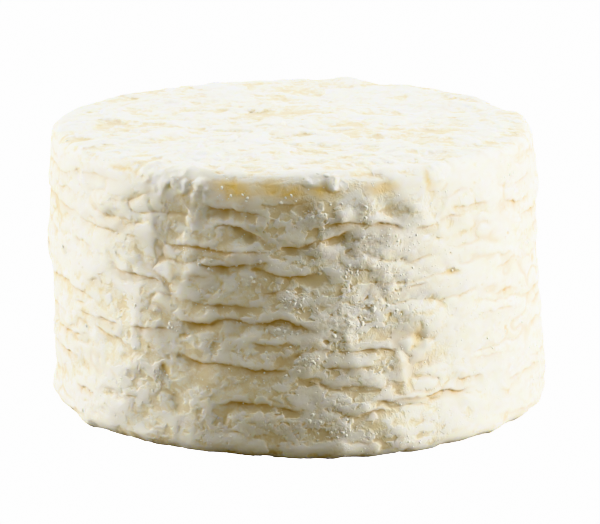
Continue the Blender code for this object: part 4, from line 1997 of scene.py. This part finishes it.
@dataclass
class ScatteredCurd:
    """Bits of curd caught all over the skin, scattered by Geometry Nodes.

    held_by names the field that says how many lie where, roundness is how often a bit's faces are split, and
    sunk is how much of a bit's size lies in the skin. Lump sizes are parts of a bit's size.
    """

    name: str
    held_by: str
    size_mm: float
    per_square_cm: float
    roundness: int
    sunk: float
    seed: int
    least_stretch: tuple[float, float, float] = (0.6, 0.6, 0.6)
    most_stretch: tuple[float, float, float] = (1.4, 1.1, 1.1)
    lumps_across: float = 1.3
    lump_detail: float = 1.0
    lump_reach: float = 0.55

    def tree(self, finish: bpy.types.Material) -> Tree:
        """Builds the node tree that turns a skin into the bits lying on it.

        Args:
            finish: what the bits are made of.

        Returns:
            The tree, with a named input for each size.
        """
        made = bpy.data.node_groups.new(self.name, "GeometryNodeTree")
        made.interface.new_socket("Skin", in_out="INPUT", socket_type="NodeSocketGeometry")
        made.interface.new_socket("Bit size", in_out="INPUT", socket_type="NodeSocketFloat")
        made.interface.new_socket("Bits per area", in_out="INPUT", socket_type="NodeSocketFloat")
        made.interface.new_socket("Bits", in_out="OUTPUT", socket_type="NodeSocketGeometry")
        given = add_node(made, "NodeGroupInput").outputs
        size = given["Bit size"]
        share = add_node(made, "GeometryNodeInputNamedAttribute", {"Name": self.held_by}, data_type="FLOAT")
        density = add_node(
            made, "ShaderNodeMath", (share.outputs["Attribute"], given["Bits per area"]), operation="MULTIPLY"
        )
        spots = add_node(
            made,
            "GeometryNodeDistributePointsOnFaces",
            {"Mesh": given["Skin"], "Density": density.outputs[0], "Seed": self.seed},
        )
        half = add_node(made, "ShaderNodeMath", (size, 0.5), operation="MULTIPLY")
        depth = add_node(made, "ShaderNodeMath", (size, -self.sunk), operation="MULTIPLY")
        inwards = add_node(
            made,
            "ShaderNodeVectorMath",
            {0: spots.outputs["Normal"], "Scale": depth.outputs[0]},
            operation="SCALE",
        )
        sunk = add_node(
            made,
            "GeometryNodeSetPosition",
            {"Geometry": spots.outputs["Points"], "Offset": inwards.outputs[0]},
        )
        bit = add_node(
            made, "GeometryNodeMeshIcoSphere", {"Radius": half.outputs[0], "Subdivisions": self.roundness}
        )
        turn = add_node(
            made,
            "FunctionNodeRandomValue",
            {"Max": (math.tau, math.tau, math.tau), "Seed": self.seed + 1},
            data_type="FLOAT_VECTOR",
        )
        stretch = add_node(
            made,
            "FunctionNodeRandomValue",
            {"Min": self.least_stretch, "Max": self.most_stretch, "Seed": self.seed + 2},
            data_type="FLOAT_VECTOR",
        )
        laid = add_node(
            made,
            "GeometryNodeInstanceOnPoints",
            {
                "Points": sunk.outputs["Geometry"],
                "Instance": bit.outputs["Mesh"],
                "Rotation": turn.outputs["Value"],
                "Scale": stretch.outputs["Value"],
            },
        )
        real = add_node(made, "GeometryNodeRealizeInstances", {"Geometry": laid.outputs["Instances"]})
        wave = add_node(made, "ShaderNodeMath", (self.lumps_across, size), operation="DIVIDE")
        lumpy = add_node(
            made, "ShaderNodeTexNoise", {"Scale": wave.outputs[0], "Detail": self.lump_detail}
        )
        centred = add_node(
            made, "ShaderNodeVectorMath", (lumpy.outputs["Color"], MIDDLE_GREY), operation="SUBTRACT"
        )
        reach = add_node(made, "ShaderNodeMath", (size, self.lump_reach), operation="MULTIPLY")
        moved = add_node(
            made,
            "ShaderNodeVectorMath",
            {0: centred.outputs[0], "Scale": reach.outputs[0]},
            operation="SCALE",
        )
        torn = add_node(
            made, "GeometryNodeSetPosition", {"Geometry": real.outputs[0], "Offset": moved.outputs[0]}
        )
        soft = add_node(made, "GeometryNodeSetShadeSmooth", {"Geometry": torn.outputs[0]})
        dressed = add_node(made, "GeometryNodeSetMaterial", {"Geometry": soft.outputs[0], "Material": finish})
        add_node(made, "NodeGroupOutput", {"Bits": dressed.outputs[0]})
        return made

    def build(self, skin: bpy.types.Object, finish: bpy.types.Material) -> bpy.types.Object:
        """Scatters the bits over a skin.

        Args:
            skin: the object that they lie on.
            finish: what they are made of.

        Returns:
            One plain mesh object that holds them all.
        """
        bits = link_object(self.name, skin.data.copy())
        tree = self.tree(finish)
        laying = bits.modifiers.new("scatter", "NODES")
        sizes = {
            "Bit size": self.size_mm * MM,
            "Bits per area": self.per_square_cm * SQUARE_CM_IN_SQUARE_M,
        }
        for item in tree.interface.items_tree:
            if item.in_out == "INPUT" and item.name in sizes:
                item.default_value = sizes[item.name]
        laying.node_group = tree
        for item in tree.interface.items_tree:
            if item.in_out == "INPUT" and item.name in sizes:
                laying[item.identifier] = sizes[item.name]
        apply_modifiers(bits)
        for name in HELD_FIELDS:
            if name in bits.data.attributes:
                bits.data.attributes.remove(bits.data.attributes[name])
        return bits


# ---- Torn curds along the rim ----


@dataclass(frozen=True)
class Curd:
    """One torn bit of curd: its angle round the wheel, its height, how far in from the side its middle is,
    its half sizes round the wheel, upwards and outwards, and how far its right end is turned up, in degrees.
    The rest is the same for every bit.
    """

    angle: float
    height: float
    inset: float
    half_width: float
    half_height: float
    half_depth: float
    tilt: float
    fullness: float = 0.75
    lumps: Wave = Wave(1.6, 0.38)
    lumps_apart: float = 5.0
    sunk: float = 0.7

    def place(self, ball: np.ndarray, grain: Grain) -> np.ndarray:
        """Shapes a ball of radius 1 into this curd.

        Args:
            ball: the ball's points.
            grain: the random fields.

        Returns:
            The curd's points in place, in millimetres.
        """
        full = self.fullness
        sized = ball * (full * self.half_width, full * self.half_depth, full * self.half_height)
        lumpy = self.lumps.over(grain, sized + self.angle * self.lumps_apart)
        sized = sized * (1.0 + lumpy[:, None])
        tilt, turn = math.radians(self.tilt), math.radians(self.angle)
        across = sized[:, 0] * math.cos(tilt) - sized[:, 2] * math.sin(tilt)
        up = sized[:, 0] * math.sin(tilt) + sized[:, 2] * math.cos(tilt)
        radius = TOP_RADIUS - self.sunk - self.inset - sized[:, 1]
        x = radius * math.sin(turn) + across * math.cos(turn)
        y = -radius * math.cos(turn) + across * math.sin(turn)
        z = self.height + up
        return np.column_stack([x + LEAN / 2 - LEAN * z / HEIGHT, y, z])


RIM_CURDS = (
    Curd(8.8, 72.9, 0.8, 1.6, 0.9, 1.2, -20.0),
    Curd(6.4, 73.6, 1.6, 1.2, 0.7, 1.1, 0.0),
    Curd(3.8, 74.0, 2.6, 1.0, 0.6, 1.0, 0.0),
    Curd(30.6, 71.6, 0.4, 0.9, 1.8, 1.0, 0.0),
    Curd(34.4, 72.6, 0.7, 1.4, 1.1, 1.1, 40.0),
    Curd(37.6, 73.4, 1.4, 1.8, 0.8, 1.2, 15.0),
    Curd(-28.4, 32.9, -0.5, 1.5, 0.8, 0.9, 35.0),
    Curd(-33.0, 36.8, -0.4, 1.1, 0.5, 0.7, 35.0),
    Curd(16.8, 66.8, -0.2, 1.2, 1.1, 0.8, 30.0),
    Curd(18.2, 65.6, -0.2, 0.9, 1.0, 0.7, -30.0),
    Curd(11.6, 51.6, -0.5, 0.8, 0.7, 0.7, 0.0),
    Curd(-1.2, 35.7, -0.3, 0.6, 0.5, 0.6, 0.0),
    Curd(1.4, 35.7, -0.3, 0.6, 0.5, 0.6, 0.0),
    Curd(2.4, 26.8, -0.3, 1.7, 1.6, 0.9, 20.0),
    Curd(14.8, 14.8, -0.8, 0.8, 0.35, 0.6, 0.0),
    Curd(-3.0, 1.4, -0.6, 0.7, 0.8, 0.7, 0.0),
    Curd(17.0, 2.2, -0.8, 0.9, 1.0, 0.8, 0.0),
    Curd(22.0, 2.6, -0.9, 1.3, 1.0, 0.9, 20.0),
    Curd(26.0, 2.0, -0.8, 0.9, 0.8, 0.8, 0.0),
)


@dataclass
class RimCurds:
    """The larger bits of curd that were torn up along the rim and at the edges of the folds, in one piece.

    Those round the back follow a rule, in which pairs are from and to: the farther up the rim's rounding a
    bit lies, the farther in it is.
    """

    roundness: int = 3
    more_on_rim: int = 46
    seed: int = 17
    angles: Span = (48.0, 308.0)
    lowest: float = 70.4
    rise: float = 2.8
    least_inset: float = 0.4
    more_inset: float = 2.2
    half_widths: Span = (0.7, 1.9)
    half_heights: Span = (0.5, 1.0)
    half_depths: Span = (0.8, 1.2)
    tilts: Span = (-40.0, 40.0)

    def curds(self) -> list[Curd]:
        """Lists every bit.

        Returns:
            Those in front, given one by one, and more round the rest of the rim by a rule.
        """
        draw = np.random.default_rng(self.seed)
        made = list(RIM_CURDS)
        for _ in range(self.more_on_rim):
            angle = draw.uniform(*self.angles)
            share = draw.uniform(0.0, 1.0)
            height = self.lowest + self.rise * share
            inset = self.least_inset + self.more_inset * share
            sizes = [draw.uniform(*r) for r in (self.half_widths, self.half_heights, self.half_depths)]
            made.append(Curd(angle, height, inset, *sizes, draw.uniform(*self.tilts)))
        return made

    def build(self, finish: bpy.types.Material) -> bpy.types.Object:
        """Makes the piece.

        Args:
            finish: what the bits are made of.

        Returns:
            One mesh object that holds them all.
        """
        shape = bmesh.new()
        bmesh.ops.create_icosphere(shape, subdivisions=self.roundness, radius=1.0)
        ball = np.array([vertex.co[:] for vertex in shape.verts])
        corners = np.array([[vertex.index for vertex in face.verts] for face in shape.faces])
        shape.free()
        grain = Grain(self.seed)
        placed = [curd.place(ball, grain) for curd in self.curds()]
        faces = [corners + len(ball) * number for number in range(len(placed))]
        mesh = bpy.data.meshes.new("torn_curds")
        mesh.from_pydata((np.concatenate(placed) * MM).tolist(), [], np.concatenate(faces).tolist())
        mesh.shade_smooth()
        mesh.materials.append(finish)
        return link_object("torn_curds", mesh)


# ---- The studio ----


@dataclass(frozen=True)
class Softbox:
    """A large soft light that faces the cheese. Azimuth 0 is in front and 90 to the right."""

    name: str
    azimuth: float
    elevation: float
    distance: float
    width: float
    height: float
    watts: float
    colour: str = "#FFFFFF"

    def build(self, target: Vector) -> bpy.types.Object:
        """Sets the light up.

        Args:
            target: the point that it faces.

        Returns:
            The light.
        """
        lamp = bpy.data.lights.new(self.name, "AREA")
        lamp.shape = "RECTANGLE"
        lamp.size = self.width
        lamp.size_y = self.height
        lamp.energy = self.watts
        lamp.color = linear(self.colour)[:3]
        made = link_object(self.name, lamp)
        turn, lift = math.radians(self.azimuth), math.radians(self.elevation)
        away = Vector((math.sin(turn) * math.cos(lift), -math.cos(turn) * math.cos(lift), math.sin(lift)))
        made.location = target + away * self.distance
        made.rotation_euler = (-away).to_track_quat("-Z", "Y").to_euler()
        made.visible_camera = False
        return made


@dataclass
class Studio:
    """A pale floor, soft lights and the camera. Lengths are metres, apart from those ending in mm."""

    focal_mm: float = 233.6
    sensor_mm: float = 36.0
    nearest: float = 0.05
    farthest: float = 50.0
    camera_distance: float = 1.04
    camera_elevation: float = 13.5
    aim: tuple[float, float, float] = (0.0011, 0.0, 0.0363)
    floor_size: float = 6.0
    paper: str = "#8E8364"
    paper_roughness: float = 0.9
    paper_shine: float = 0.1
    backdrop_glow: float = 6.0
    room_tint: str = "#FFEAB8"
    room_light: float = 0.01
    softboxes: tuple[Softbox, ...] = (
        Softbox("softbox_right_back", 115, 10, 0.9, 0.7, 0.7, 6.5),
        Softbox("softbox_right", 95, 10, 0.9, 0.7, 0.7, 8.8),
        Softbox("softbox_right_front", 72, 10, 0.9, 0.7, 0.7, 6.8),
        Softbox("softbox_left", -92, 10, 0.9, 0.7, 0.7, 9.3),
        Softbox("softbox_left_back", -115, 10, 0.9, 0.7, 0.7, 7.4),
        Softbox("softbox_back", 180, 30, 0.9, 0.8, 0.6, 2.4),
        Softbox("softbox_top", 0, 88, 0.9, 0.7, 0.7, 4.8),
        Softbox("fill_front", 0, 20, 0.9, 0.7, 0.7, 0.06, "#FCE29A"),
    )

    def build(self) -> None:
        """Sets up everything round the cheese."""
        target = Vector(self.aim)
        self.camera(target)
        for softbox in self.softboxes:
            softbox.build(target)
        self.floor()
        self.room()
        bpy.context.scene.view_settings.view_transform = "Khronos PBR Neutral"

    def camera(self, target: Vector) -> None:
        """Sets the camera up in front of the cheese, a little above it.

        Args:
            target: the point that it looks at.
        """
        lens = bpy.data.cameras.new("camera")
        lens.lens = self.focal_mm
        lens.sensor_width = self.sensor_mm
        lens.clip_start = self.nearest
        lens.clip_end = self.farthest
        made = link_object("camera", lens)
        lift = math.radians(self.camera_elevation)
        back = Vector((0.0, -math.cos(lift), math.sin(lift)))
        made.location = target + back * self.camera_distance
        made.rotation_euler = (-back).to_track_quat("-Z", "Y").to_euler()
        bpy.context.scene.camera = made

    def floor(self) -> None:
        """A sheet of matt white paper that throws little light back."""
        half = self.floor_size / 2
        mesh = bpy.data.meshes.new("floor")
        corners = [(-half, -half, 0), (half, -half, 0), (half, half, 0), (-half, half, 0)]
        mesh.from_pydata(corners, [], [(0, 1, 2, 3)])
        sheet = link_object("floor", mesh)
        made = bpy.data.materials.new("matt_white_paper")
        made.use_nodes = True
        tree = made.node_tree
        shader = tree.nodes["Principled BSDF"]
        shader.inputs["Roughness"].default_value = self.paper_roughness
        shader.inputs["Base Color"].default_value = linear(self.paper)
        shader.inputs["Specular IOR Level"].default_value = self.paper_shine
        glow = add_node(
            tree, "ShaderNodeEmission", {"Color": linear("#FFFFFF"), "Strength": self.backdrop_glow}
        )
        seen = add_node(tree, "ShaderNodeLightPath").outputs["Is Camera Ray"]
        shown = add_node(tree, "ShaderNodeMixShader", (seen, shader.outputs[0], glow.outputs[0]))
        tree.links.new(shown.outputs[0], tree.nodes["Material Output"].inputs["Surface"])
        mesh.materials.append(made)

    def room(self) -> None:
        """The light of a pale room all round, and the same bright white as the floor behind everything."""
        world = bpy.data.worlds.new("room")
        world.use_nodes = True
        tree = world.node_tree
        dim = tree.nodes["Background"]
        dim.inputs["Color"].default_value = linear(self.room_tint)
        dim.inputs["Strength"].default_value = self.room_light
        bright = add_node(
            tree, "ShaderNodeBackground", {"Color": linear("#FFFFFF"), "Strength": self.backdrop_glow}
        )
        seen = add_node(tree, "ShaderNodeLightPath").outputs["Is Camera Ray"]
        shown = add_node(tree, "ShaderNodeMixShader", (seen, dim.outputs[0], bright.outputs[0]))
        tree.links.new(shown.outputs[0], tree.nodes["World Output"].inputs["Surface"])
        bpy.context.scene.world = world


def finish_piece(piece: bpy.types.Object) -> None:
    """Makes a piece ride on the cheese's body, and reports it."""
    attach(piece, BODY)
    log.info("%s: %d faces", piece.name, len(piece.data.polygons))


def main() -> None:
    """Builds the cheese and the studio round it."""
    logging.basicConfig(level=logging.INFO, format="%(name)s: %(message)s")
    for thing in list(bpy.data.objects):
        bpy.data.objects.remove(thing)
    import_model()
    Studio().build()
    wheel = Wheel()
    cheese = wheel.build()
    cheese.data.materials.append(PressedCurd().material())
    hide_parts(CAD_NODE)
    finish_piece(cheese)
    loose = LooseCurd().material()
    for scattered in (
        ScatteredCurd("fine_crumbs", "crumbs", 0.66, 110.0, 1, 0.3, 3),
        ScatteredCurd("curd_grains", "nuggets", 1.1, 90.0, 2, 0.32, 8),
        ScatteredCurd("curd_nuggets", "nuggets", 2.0, 6.0, 3, 0.36, 12),
    ):
        finish_piece(scattered.build(cheese, loose))
    finish_piece(RimCurds().build(loose))


if __name__ == "__main__":
    main()
